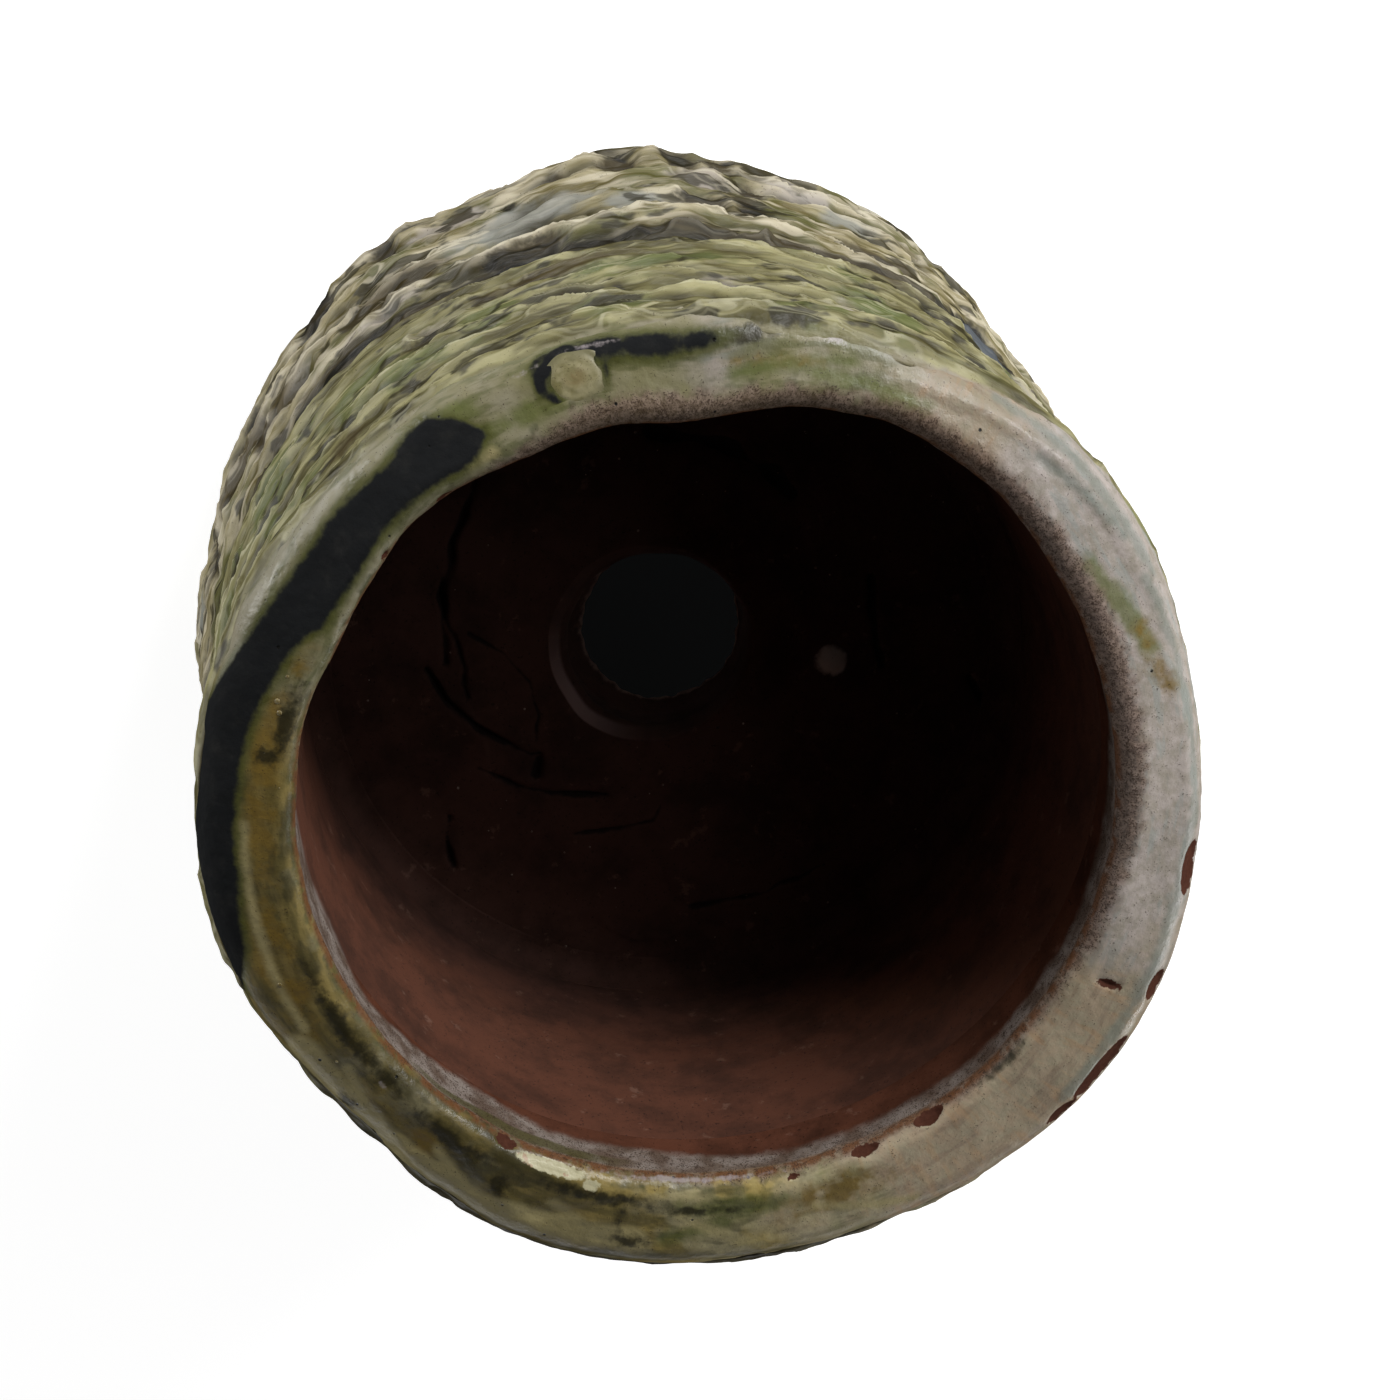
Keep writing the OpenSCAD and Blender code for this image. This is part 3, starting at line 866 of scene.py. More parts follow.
def lip_smears(bench, place, colour):
    """Smears of coloured glaze that a finger or a brush dragged over the lip."""
    colour = smeared(bench, place, colour, "blue", 5.0, 6.0, -1.8, 1.4, paint(104, 112, 104), 0.6)
    colour = smeared(bench, place, colour, "green", 7.0, 7.0, -2.0, 2.4, MOSS, 0.75)
    patchy = bench.ramp(bench.cloud(place, 10.0, 3.0, 0.6), 0.42, 0.58, 0.25, 0.85)
    colour = smeared(bench, place, colour, "ochre", 9.0, 6.0, -2.0, 3.0, OCHRE, patchy)
    return smeared(bench, place, colour, "pale", 3.0, 7.0, -1.8, 1.6, paint(156, 145, 104), 0.8)


def lip_mottle(bench, place, colour):
    """Thin glaze over the mouth's edge: pinkish, and thick with specks."""
    field = read(bench, "mottle")
    seep = bench.ramp(bench.math("ABSOLUTE", bench.math("ADD", field, 1.5)), 3.0, 0.5)
    olive = bench.math("SUBTRACT", 1.0, bench.most(read(bench, "lilac"), read(bench, "tan")))
    where = bench.ramp(bench.cloud(place, 6.0, 2.0, 0.5), 0.52, 0.62)
    seep = bench.times(seep, bench.times(olive, olive), where)
    colour = bench.lay(colour, paint(62, 66, 40), seep, 0.6)
    thin = frayed(bench, field, 9.0, 6.0, place, -2.0, 3.4)
    pink = bench.blend(bench.ramp(bench.cloud(place, 1.8, 4.0, 0.75), 0.35, 0.65), paint(70, 50, 40),
                       paint(130, 110, 98))
    colour = bench.lay(colour, pink, thin, 0.8)
    along = read(bench, "along")
    film = frayed(bench, bench.times(along, -1.0), 2.5, 6.0, place, 0.4, 2.4)
    colour = bench.lay(colour, film_tone(bench, place), film, 0.85)
    dip = bench.math("MULTIPLY_ADD", bench.cloud(place, 8.0, 3.0, 0.6), 0.5, read(bench, "dip"))
    colour = bench.lay(colour, paint(76, 72, 42), bench.ramp(dip, 0.7, 1.1), 0.85)
    worn = bench.ramp(bench.cloud(place, 6.0, 3.0, 0.6), 0.40, 0.54)
    edge = bench.times(bench.ramp(along, 4.6, 2.0), bench.ramp(along, -1.6, 0.4), worn)
    colour = bench.lay(colour, paint(102, 64, 36), edge, 0.75)
    specks = bench.group(SPECKS, Place=place, Amount=bench.math("MULTIPLY_ADD", thin, 0.6, 0.06))
    return bench.lay(colour, paint(52, 38, 30), specks.outputs["Mask"], 0.7), thin


def lip_brushwork(bench, place, colour):
    """Brown dabs, then the black stroke with its olive halo."""
    colour = smeared(bench, place, colour, "brown", 7.0, 4.0, -1.4, 1.6, paint(36, 33, 20), 0.9)
    colour = smeared(bench, place, colour, "ink", 3.0, 5.0, -4.2, -0.2, paint(70, 72, 34), 0.85)
    ink = frayed(bench, "ink", 3.4, 4.0, place, -1.2, 1.1)
    dusty = bench.blend(bench.ramp(bench.cloud(place, 9.0, 5.0, 0.7), 0.45, 0.75), INK, paint(38, 38, 37))
    return bench.blend(ink, colour, dusty), ink


def lip_wear(bench, place, colour):
    """Cream slip, lilac scuffs and bare chips. Returns the colour and the bare mask."""
    cream = frayed(bench, "cream", 2.4, 2.0, place, -0.3, 0.3)
    rosy = bench.ramp(bench.cloud(place, 3.0, 2.0, 0.5), 0.60, 0.66)
    slip = bench.lay(paint(178, 172, 140), paint(160, 110, 92), rosy, 0.5)
    colour = bench.blend(cream, colour, slip)
    colour = smeared(bench, place, colour, "scuff", 3.6, 2.8, -0.3, 0.9, paint(160, 151, 151), 0.62)
    chip = frayed(bench, "chip", 2.6, 2.2, place, -0.12, 0.12)
    body = bench.blend(bench.cloud(place, 1.2, 2.0, 0.6), paint(56, 32, 24), CHIP_CLAY)
    colour = bench.blend(chip, colour, body)
    skin = bench.group(CLAY_SKIN, Place=place, Light=RED_CLAY, Dark=RED_CLAY_DARK)
    bare = frayed(bench, "bare", 6.0, 9.0, place, -3.0, 3.0)
    return bench.blend(bare, colour, skin.outputs["Colour"]), bench.most(chip, bare)


def lip_material():
    material, bench, shader = new_material("lip_glaze")
    place = read_place(bench, "place")
    colour = lip_smears(bench, place, lip_base(bench, place))
    colour, thin = lip_mottle(bench, place, colour)
    colour, ink = lip_brushwork(bench, place, colour)
    holes = bench.group(PINHOLES, Place=place, Chance=0.16).outputs["Mask"]
    colour = bench.blend(holes, colour, TAR)
    colour, bare = lip_wear(bench, place, colour)
    bench.feed(shader.inputs["Base Color"], colour)
    shine = bench.ramp(bench.cloud(place, 8.0, 3.0, 0.6), 0.3, 0.7, 0.24, 0.42)
    dull = bench.most(bench.times(thin, 0.6), bare, ink)
    rough = bench.most(shine, bench.times(dull, 0.9))
    glaze_gloss(bench, shader, rough, bench.ramp(dull, 0.0, 1.0, 0.24, 0.05))
    peel = bench.math("MULTIPLY_ADD", holes, -1.2, bench.cloud(place, 2.6, 4.0, 0.6))
    set_bump(bench, shader, peel, 0.3)
    return material


finish_piece(rim, lip_material(), ["rim_lip"])

# %% [markdown]
# ## The bark's relief
# The bark is clay dragged downwards in overlapping ridges. Each ridge rises slowly towards its lower
# edge, ends in a thin wandering crest and drops steeply into a recess where glaze pooled dark. A
# saw-tooth does that. The band brings `turns`, which counts the ridges up the wall by the same rule as
# the imported model, and noise tears it into cusps that point to the foot. The same group of nodes is
# built twice, once to move the mesh and once to colour it, so that the pale crests and the dark pools
# lie exactly on the shape. The colour also takes painted light and shade from it: a painted highlight
# on the crests, painted shade in the recesses, and slopes lightened towards their crests. It works in
# millimetres on a place wrapped round a cylinder.

# %% Bark relief group
RELIEF_SIZES = {"Ridge height": (FLOAT, 2.8), "Ragged": (FLOAT, 1.0), "Lumps": (FLOAT, 1.0),
                "Dimples": (FLOAT, 0.0)}
RELIEF_INPUTS = {"Place": (VECTOR, None), "Turns": (FLOAT, 0.0), "Strength": (FLOAT, 1.0), **RELIEF_SIZES}
RELIEF_OUTPUTS = {"Height": FLOAT, "Crest": FLOAT, "Slope": FLOAT, "Pool": FLOAT, "Streak": FLOAT}
CREST_AT = 0.25


def ridges(bench, turns, crest_half):
    """One layer of ridges: its saw-tooth from 0 to 1, its crest line and its recess."""
    share = bench.math("FRACT", turns)
    rise = bench.math("DIVIDE", share, CREST_AT)
    fall = bench.math("DIVIDE", bench.math("SUBTRACT", 1.0, share), 1 - CREST_AT)
    saw = bench.most(bench.math("SMOOTH_MIN", rise, fall, 0.1), 0.0)
    off = bench.math("ABSOLUTE", bench.math("SUBTRACT", share, CREST_AT + 0.03))
    crest = bench.ramp(off, crest_half, crest_half * 0.2)
    recess = bench.most(bench.ramp(share, 0.42, 0.84), bench.ramp(share, 0.14, 0.0))
    return bench.math("POWER", saw, 1.25), crest, recess


def tearing(bench, place):
    """How far noise shifts a ridge, in ridges; the folds of the second noise make the cusps."""
    bend = bench.cloud(place, 15.0, 2.0, 0.5, stretch=(0.6, 0.6, 1.2))
    folds = bench.cloud(place, 15.0, 1.0, 0.5, stretch=(0.75, 0.75, 1.1))
    fold = bench.math("ABSOLUTE", bench.math("SUBTRACT", folds, 0.5))
    torn = bench.math("MULTIPLY_ADD", fold, -1.7, bench.math("MULTIPLY_ADD", bend, 1.0, -0.36))
    return bench.math("MULTIPLY_ADD", bench.cloud(place, 5.5, 1.0, 0.5), 0.08, torn)


def make_bark_relief(kind):
    bench, given, put = new_group("Bark relief", kind, RELIEF_INPUTS, RELIEF_OUTPUTS)
    place = given["Place"]
    torn = bench.times(tearing(bench, place), given["Ragged"])
    saw, crest, recess = ridges(bench, bench.math("ADD", given["Turns"], torn), 0.07)
    turns2 = bench.math("MULTIPLY_ADD", given["Turns"], 2.0, bench.math("MULTIPLY_ADD", torn, 2.0, 0.4))
    saw2, crest2, recess2 = ridges(bench, turns2, 0.10)
    strong = bench.times(bench.ramp(bench.cloud(place, 24.0, 2.0, 0.5), 0.36, 0.58, 0.35, 1.0),
                         given["Strength"])
    elsewhere = bench.vector("ADD", place, (71.0, 13.0, 5.0))
    weak = bench.ramp(bench.cloud(elsewhere, 19.0, 2.0, 0.5), 0.4, 0.6)
    lump = bench.math("SUBTRACT", bench.cloud(place, 17.0, 2.0, 0.5), 0.5)
    streak = bench.cloud(place, 34.0, 3.0, 0.55, stretch=(1.0, 1.0, 5.0))
    cells = bench.cells(bench.vector("MULTIPLY", place, (1.0, 1.0, 1.2)), 17.0, "SMOOTH_F1")
    chosen = bench.ramp(bench.parts(cells.outputs["Color"])[0], 0.46, 0.60)
    dimple = bench.times(bench.ramp(cells.outputs["Distance"], 0.50, 0.10), chosen, given["Dimples"])
    layer = bench.times(bench.math("MULTIPLY_ADD", saw, 1.04, -0.46), strong, given["Ridge height"])
    layer2 = bench.times(bench.math("SUBTRACT", saw2, 0.4), weak, 0.7)
    swell = bench.times(lump, given["Lumps"], 6.0)
    total = bench.math("ADD", bench.math("ADD", layer, layer2), swell)
    total = bench.math("MULTIPLY_ADD", bench.math("SUBTRACT", streak, 0.5), 0.8, total)
    put("Height", bench.math("MULTIPLY_ADD", dimple, -1.9, total))
    # Crest, Slope and Pool feed the painted highlight, the painted light on the slopes and the painted
    # shade in the recesses
    put("Crest", bench.most(bench.times(crest, strong), bench.times(crest2, weak, 0.3)))
    put("Slope", bench.times(saw, strong))
    put("Pool", bench.most(bench.times(recess, strong), bench.times(recess2, weak, 0.35), dimple))
    put("Streak", streak)
    return bench.tree


RELIEF_SHAPE = make_bark_relief("GeometryNodeTree")
RELIEF_SHADE = make_bark_relief("ShaderNodeTree")
print("relief sockets:", list(RELIEF_INPUTS))

# %% [markdown]
# ## Carving with Geometry Nodes
# The bark follows a rule, so a node tree carves it. The plain band brings its wrapped place, the way
# out of the surface, its count of ridges, how free the surface is to move, and any dent made on
# purpose. The tree's inputs are the sizes that a potter would change. A modifier takes them by the
# identifier of the socket. When the shape is right the result becomes a plain mesh and the modifier goes.

# %% Carving tree
def stored(bench, name, kind="FLOAT"):
    """What a piece keeps under this name, for a Geometry Nodes tree to read."""
    node = bench.add("GeometryNodeInputNamedAttribute", data_type=kind)
    node.inputs["Name"].default_value = name
    return node.outputs["Attribute"]


def coated(bench, geometry, material):
    """The end of a tree: one real mesh that wears its material."""
    solid = bench.add("GeometryNodeRealizeInstances")
    bench.feed(solid.inputs[0], geometry)
    coat = bench.add("GeometryNodeSetMaterial")
    bench.feed(coat.inputs["Geometry"], solid.outputs[0])
    bench.feed(coat.inputs["Material"], material)
    return coat.outputs[0]


def make_carving():
    inputs = {"Band": ("NodeSocketGeometry", None), **RELIEF_SIZES, "Glaze": ("NodeSocketMaterial", None)}
    bench, given, put = new_group("Bark carving", "GeometryNodeTree", inputs,
                                  {"Carved": "NodeSocketGeometry"})
    relief = bench.group(RELIEF_SHAPE, Place=stored(bench, "place", "FLOAT_VECTOR"),
                         Turns=stored(bench, "turns"), Strength=stored(bench, "strength"),
                         **{name: given[name] for name in RELIEF_SIZES})
    free = bench.times(relief.outputs["Height"], stored(bench, "free"))
    rise = bench.math("SUBTRACT", free, stored(bench, "dent"))
    way = bench.vector("SCALE", stored(bench, "out", "FLOAT_VECTOR"), scale=bench.times(rise, MM))
    move = bench.add("GeometryNodeSetPosition")
    bench.feed(move.inputs["Geometry"], given["Band"])
    bench.feed(move.inputs["Offset"], way)
    put("Carved", coated(bench, move.outputs[0], given["Glaze"]))
    return bench.tree


def grown(source, tree, name, **values):
    """The plain mesh that a tree makes of a source piece. The source is removed."""
    modifier = source.modifiers.new(name, "NODES")
    modifier.node_group = tree
    for item in tree.interface.items_tree:
        key = item.name.replace(" ", "_")
        if item.in_out == "INPUT" and key in values:
            modifier[item.identifier] = values[key]
    shaped = source.evaluated_get(bpy.context.evaluated_depsgraph_get())
    mesh = bpy.data.meshes.new_from_object(shaped)
    source.modifiers.remove(modifier)
    bpy.data.objects.remove(source)
    return add_object(name, mesh)


CARVING = make_carving()
print("carving inputs:", [i.name for i in CARVING.interface.items_tree if i.in_out == "INPUT"])

# %% [markdown]
# ## Bark bands before carving
# The skin tapers from thick at the foot to thin at the top. The seam between the two bands wanders up
# and down three times on its way round. The upper band does not stop under the lip: its clay was
# pushed up over the roll, further at the front than elsewhere, and its ragged edge shows on top.

# %% Bark bands
BARK_COLUMNS = 900
SEAM_MEAN_MM = 137.0
SEAM_WAVE_MM = 8.0
SEAM_WAVES = 3
SEAM_CREST = -18
GROOVE_MM = 1.6
UNDER_ROUND_MM = 5.0
BARK_SKIN_MM = 2.0
SWELLS = [(-50, 9, 0.55), (-37, 8, 0.3), (-17, 11, 1.15), (17, 8, 0.6), (30, 8, 0.33), (76, 9, 0.9),
          (112, 14, 0.45), (150, 13, 0.7), (195, 14, 0.5), (232, 13, 0.8), (270, 13, 0.6)]
SWELL_MM = 6.0
# Height of a ridge, and the share of a ridge at which the count starts
UPPER_RIDGES = (16.0, 0.52)
LOWER_RIDGES = (25.0, 0.67)
# Bearing, half width and degrees: how far over the lip's outer roll the bark reaches
CREEP_BASE = 20.0
CREEP = [(-32, 17, 44), (2, 10, 12), (34, 15, 14), (126, 26, 21), (174, 18, 17), (215, 12, -8),
         (242, 12, -8)]
# Radius of the hidden backs of the bands where they meet and at the foot of the pot
BACK_SEAM_MM = WALL_OUT_MM[1] + 4
BACK_FOOT_MM = WALL_OUT_MM[1] + 9
# How far the upper band's hidden edge is tucked into the roll of the lip
TUCK_MM = 2.5
# Dark pools placed one by one: bearing, height, half width round the pot, half height, depth
POOLS = [(-22.5, 143, 14, 8, 1.2), (-12, 143, 20, 4.5, 1.0), (-2, 138, 14, 5, 1.0),
         (0.5, 124.5, 14, 10, 1.2), (-28.6, 98.7, 6, 9.5, 1.6), (-22.5, 98.7, 8, 10.5, 2.0),
         (-29.5, 70.5, 5, 9.5, 1.6), (-26, 40, 6, 14, 2.0), (-21.5, 42, 6.5, 14, 2.4),
         (-13.7, 47, 6, 13, 1.8), (-5.9, 47, 4.5, 5, 1.2),
         (0.7, 63.5, 3.5, 3.5, 1.0), (29.0, 40.0, 9, 18, 2.4), (33, 72, 4, 10, 1.2),
         (42.5, 73, 4, 9, 1.2), (14.4, 170, 9, 3, 0.8), (17, 38, 4.8, 13, 1.8),
         (44, 44.6, 14, 4.8, 1.6), (33.5, 144.5, 3, 3.6, 1.2), (-40, 164.5, 3, 2.5, 0.8),
         (-48, 155, 2.5, 5, 0.8), (24, 131.5, 8, 4, 1.0), (42, 87, 5, 16, 1.6), (59.8, 75, 5, 21, 1.6),
         (1.5, 160.5, 5, 3, 0.7), (-75, 128, 16, 6, 1.4), (74, 66, 8, 12, 1.8), (88, 120, 22, 5, 1.2),
         (95, 158, 12, 4, 1.0), (120, 60, 7, 12, 2.0), (135, 130, 26, 5, 1.2), (150, 185, 14, 4, 1.0),
         (172, 138, 20, 5, 1.2), (178, 84, 8, 11, 2.0), (205, 162, 16, 4, 1.0), (214, 124, 26, 5, 1.2),
         (228, 55, 7, 12, 2.2), (255, 172, 10, 4, 1.0), (260, 134, 22, 5, 1.2), (-86, 60, 8, 9, 1.8)]
# Patches of colour placed one by one: bearing, height, half width round the pot, half height
PATCHES = {
    "green": [(16, 192.7, 14, 9.5), (42, 164.5, 12, 24), (-40, 190, 15, 13), (-8.5, 121, 12, 13),
              (-33, 96, 12, 12), (17, 60, 12, 12), (-13, 172, 24, 7), (60, 120, 16, 18),
              (85, 190, 20, 10), (130, 170, 24, 12), (180, 190, 24, 10), (230, 175, 22, 12),
              (270, 120, 20, 14),
              (115, 110, 20, 14), (205, 60, 18, 12)],
    "brown": [(17, 98.7, 19, 14), (38, 84.6, 19, 17), (48, 64, 20, 12), (-2, 160, 24, 6),
              (-45, 138, 25, 7), (12, 135, 18, 6), (53, 205, 10, 4), (27, 207, 7, 7), (-45, 110, 16, 5),
              (100, 80, 22, 14), (190, 70, 20, 14), (245, 110, 22, 12), (150, 150, 24, 7)],
    "blue": [(0.3, 84.6, 27, 17), (-14, 100, 9, 8), (5, 108, 12, 6), (-42, 75, 10, 12), (-36, 50, 10, 9),
             (75, 60, 20, 14), (140, 80, 24, 14), (220, 90, 24, 14), (-100, 90, 20, 16)],
    "lilac": [(17, 116.5, 28, 3.0), (14, 164.5, 6, 2.8), (-23, 70, 10, 10), (-35.6, 54, 12, 14),
              (-34.8, 207, 2.5, 9), (-66, 170, 14, 26), (-20, 200, 8, 4), (8, 50, 14, 8),
              (165, 60, 16, 10), (250, 60, 18, 12), (100, 45, 14, 8)],
}
# One pool of blue-black glaze stands out from the rest
SLATE_POOL = (-59.3, 134, 14, 26, 2.0)


def seam_height(bearing):
    return SEAM_MEAN_MM + SEAM_WAVE_MM * np.cos(np.radians(SEAM_WAVES * (bearing - SEAM_CREST)))


def ridge_turns(bearing, height, pitch, start):
    """How many ridges up the wall each point lies; whole numbers are the recesses."""
    turn, rise = np.radians(bearing), np.radians(height)
    wave = 0.30 * np.sin(2 * turn + np.radians(20)) + 0.17 * np.sin(5 * turn + 2 * rise)
    return wave + 0.10 * np.sin(9 * turn - 3 * rise) + height / pitch + start


def bark_radius(bearing, height):
    """Outer radius of the bark before it is carved; its swellings are largest at the foot."""
    share = (height - WALL_FOOT_MM) / (SEAT_MM - WALL_FOOT_MM)
    taper = BARK_OUT_MM[0] + (BARK_OUT_MM[1] - BARK_OUT_MM[0]) * share
    return taper + SWELL_MM * np.clip(1 - share, 0, 1) * bumps(bearing, SWELLS)


def inside_patch(bearing, height, middle, at_height, half_round, half_high):
    """How far each point of a band lies inside one oval patch, in millimetres."""
    round_mm = np.radians(signed_gap(bearing, middle)) * PATTERN_MM
    return spot(height - at_height, round_mm, half_high, half_round)


def pool_field(bearing, height, pools):
    """How far each point lies inside the nearest placed pool, and how deep it is dented."""
    inside = np.full(height.shape, -20.0)
    dent = np.zeros(height.shape)
    for *oval, depth in pools:
        found = inside_patch(bearing, height, *oval)
        inside = np.maximum(inside, found)
        dent = np.maximum(dent, depth * np.clip(0.5 + found / 4, 0, 1))
    return inside, dent


def groove_share(bearing):
    """How much dark glaze the groove holds: most of it at the front."""
    front = 0.55 * bump(turn_gap(bearing, -22), 22) + 0.34 * bump(turn_gap(bearing, 24), 18)
    return 0.64 + front + 0.16 * np.sin(np.radians(5 * bearing + 40))


def bark_band(name, radius, height, climb, normal, free, groove, ridge_rule):
    """A closed band with everything that the carving tree and the glaze read."""
    bearing = around(radius.shape[1])
    band = ring_piece(name, radius, height)
    turn = np.radians(bearing)
    place = stacked(PATTERN_MM * np.sin(turn), -PATTERN_MM * np.cos(turn), climb)
    out = stacked(np.cos(normal) * np.sin(turn), -np.cos(normal) * np.cos(turn), np.sin(normal))
    pool, dent = pool_field(bearing, climb, POOLS)
    slate, slate_dent = pool_field(bearing, climb, [SLATE_POOL])
    dent = np.maximum(dent, slate_dent) + GROOVE_MM * np.clip(groove * 1.6 - 0.6, 0, 1)
    strength = (0.75 + 0.25 * np.sin(3 * turn + np.radians(4 * climb))) * np.clip(1.4 * free, 0, 1)
    mark(band, "place", place, "FLOAT_VECTOR")
    mark(band, "out", out, "FLOAT_VECTOR")
    mark_all(band, turns=ridge_turns(bearing, climb, *ridge_rule), strength=strength, free=free,
             dent=dent * (free > 0.01), pool=pool, slate=slate, groove=groove * groove_share(bearing))
    for label, ovals in PATCHES.items():
        mark(band, label, np.maximum.reduce([inside_patch(bearing, climb, *oval) for oval in ovals]))
    return band


print("seam from %.0f to %.0f mm" % (seam_height(around(360)).min(), seam_height(around(360)).max()))

# %% Lower band
LOWER_ROWS = 96


def make_lower_band():
    bearing = around(BARK_COLUMNS)
    share = np.linspace(0, 1, LOWER_ROWS)[:, None]
    height = WALL_FOOT_MM + (seam_height(bearing) - WALL_FOOT_MM) * share
    up = height - WALL_FOOT_MM
    level_mm = np.sqrt(np.maximum(UNDER_ROUND_MM ** 2 - (UNDER_ROUND_MM - up) ** 2, 0))
    round_off = np.where(up < UNDER_ROUND_MM, UNDER_ROUND_MM - level_mm, 0)
    radius = bark_radius(bearing, height) - round_off
    off_seam = seam_height(bearing) - height
    groove = np.clip(1.45 - off_seam / 12.0, 0, 1)
    free = np.clip(up / 6, 0, 1) * (0.25 + 0.75 * np.clip(off_seam / 5, 0, 1))
    radius = np.vstack([radius, level(BARK_COLUMNS, BACK_SEAM_MM, BACK_FOOT_MM)])
    height = np.vstack([height, seam_height(bearing), level(BARK_COLUMNS, WALL_FOOT_MM)])
    held = np.zeros((2, BARK_COLUMNS))
    return bark_band("lower_bark_plain", radius, height, height, np.zeros(height.shape),
                     np.vstack([free, held]), np.vstack([groove, held]), LOWER_RIDGES)


lower_plain = make_lower_band()
print("lower band laid:", len(lower_plain.data.vertices), "points")

# %% Upper band
UPPER_ROWS, CREEP_ROWS = 76, 24
CREEP_START = math.radians(-40)


def make_upper_band():
    bearing = around(BARK_COLUMNS)
    share = np.linspace(0, 1, UPPER_ROWS)[:, None]
    height = seam_height(bearing) + (SEAT_MM - seam_height(bearing)) * share
    radius = bark_radius(bearing, height)
    off_seam = height - seam_height(bearing)
    centre_r = lip_outer(bearing) - LIP_ROLL_OUT_MM
    centre_z = CREST_MM - LIP_DROP_MM - LIP_ROLL_OUT_MM
    end = np.radians(CREEP_BASE + bumps(bearing, CREEP))
    creep = np.linspace(0, 1, CREEP_ROWS + 1)[1:, None]
    angle = CREEP_START + (end - CREEP_START) * creep
    skin = LIP_ROLL_OUT_MM + BARK_SKIN_MM * (1 - 1.2 * creep ** 2)
    creep_r, creep_z = centre_r + skin * np.cos(angle), centre_z + skin * np.sin(angle)
    climb = np.vstack([height, SEAT_MM + 4 + (angle - CREEP_START) * skin])
    groove = np.vstack([np.clip(1 - off_seam / 4.0, 0, 1), np.zeros(angle.shape)])
    back = bump(turn_gap(bearing, 138), 50)
    creep_free = 0.75 * (1 - 0.6 * (1 - back) * creep ** 2)
    free = np.vstack([0.25 + 0.75 * np.clip(off_seam / 5, 0, 1), creep_free])
    normal = np.vstack([np.zeros(height.shape), angle])
    tuck = LIP_ROLL_OUT_MM - TUCK_MM
    inner_r = np.vstack([centre_r + tuck * np.cos(end),
                         level(BARK_COLUMNS, WALL_OUT_MM[1], BACK_SEAM_MM)])
    inner_z = np.vstack([centre_z + tuck * np.sin(end), level(BARK_COLUMNS, SEAT_MM),
                         seam_height(bearing)])
    held = np.zeros((3, BARK_COLUMNS))
    band = bark_band("upper_bark_plain", np.vstack([radius, creep_r, inner_r]),
                     np.vstack([height, creep_z, inner_z]), np.vstack([climb, inner_z]),
                     np.vstack([normal, held]), np.vstack([free, held]), np.vstack([groove, held]),
                     UPPER_RIDGES)
    fade = np.clip((creep - 0.78) / 0.22, 0, 1) * (1 - back)
    below = np.zeros(height.shape)
    mark_all(band, fade=np.vstack([below, fade, held]), brink=np.vstack([below, creep * back, held]))
    whole = np.zeros((UPPER_ROWS + CREEP_ROWS + len(held), BARK_COLUMNS))
    # The lip's shares go onto the bark, and with them the painted light and shade under "lip_tone"
    for label, share in lip_shares_and_painted_light.items():
        mark(band, "lip_" + label, whole + share)
    return band


upper_plain = make_upper_band()
print("upper band laid:", len(upper_plain.data.vertices), "points")

# %% [markdown]
# ## Bark glaze
# Glaze runs off a crest and gathers in a recess. So the crests show thin and pale, the pools thick and
# dark, and the slopes carry the body colour, which drifts from olive near the lip to cream and
# blue-grey near the foot. Painted light and shade go over this: a painted highlight on each crest line,
# painted shade deepening the pools in the recesses, and painted light on each slope towards its crest.

# %% Bark glaze
# "crest" is the pale crest line, partly thin glaze and partly a painted highlight; "pool" is pooled
# glaze, deepened with painted shade in the recesses
BARK_TONES = {
    "upper": {"deep": paint(78, 73, 44), "body": paint(119, 114, 78), "light": paint(156, 151, 113),
              "green": paint(86, 94, 54), "crest": paint(178, 174, 146), "pool": paint(34, 30, 17)},
    "lower": {"deep": paint(98, 89, 54), "body": paint(150, 141, 110), "light": paint(188, 179, 156),
              "green": paint(74, 76, 36), "crest": paint(200, 192, 170), "pool": paint(38, 34, 17)},
}
# The colour of each kind of placed patch, and how much of it covers the glaze below
PATCH_TONES = {"green": None, "brown": paint(60, 49, 28), "blue": paint(132, 134, 130),
               "lilac": paint(168, 160, 152)}
PATCH_COVER = 0.75
# The brown patches also stain the crests, as a veil over everything
BROWN_VEIL = 0.28
# Share of the noise above which glaze lies thick and dark, in blots that have no plan
BLOT_FROM = {"upper": 0.555, "lower": 0.53}
# How much of a crest the pale glaze and its painted highlight cover, where the slow noise is low and
# where it is high
CREST_COVER = (0.3, 0.8)


def bark_body(bench, place, tones, streak, blot_from):
    """Streaks of olive and cream that lie along the ridges, with the placed patches over them."""
    slow = bench.cloud(place, 31.0, 3.0, 0.6)
    thread = bench.cloud(place, 22.0, 2.0, 0.5, stretch=(1.0, 1.0, 4.0))
    body = bench.blend(bench.ramp(streak, 0.38, 0.60), tones["deep"], tones["body"])
    body = bench.lay(body, tones["green"], bench.ramp(slow, 0.50, 0.64), 0.7)
    body = bench.lay(body, tones["light"], bench.ramp(thread, 0.48, 0.66), 0.8)
    masks = {label: frayed(bench, label, 16.0, 9.0, place, -3.0, 3.5) for label in PATCH_TONES}
    for label, tone in PATCH_TONES.items():
        body = bench.lay(body, tone or tones["green"], masks[label], PATCH_COVER)
    blots = bench.cloud(place, 15.0, 3.0, 0.55, stretch=(0.75, 0.75, 1.35))
    blots = bench.ramp(blots, blot_from, blot_from + 0.07)
    return bench.lay(body, tones["pool"], blots, 0.85), slow, masks["brown"]


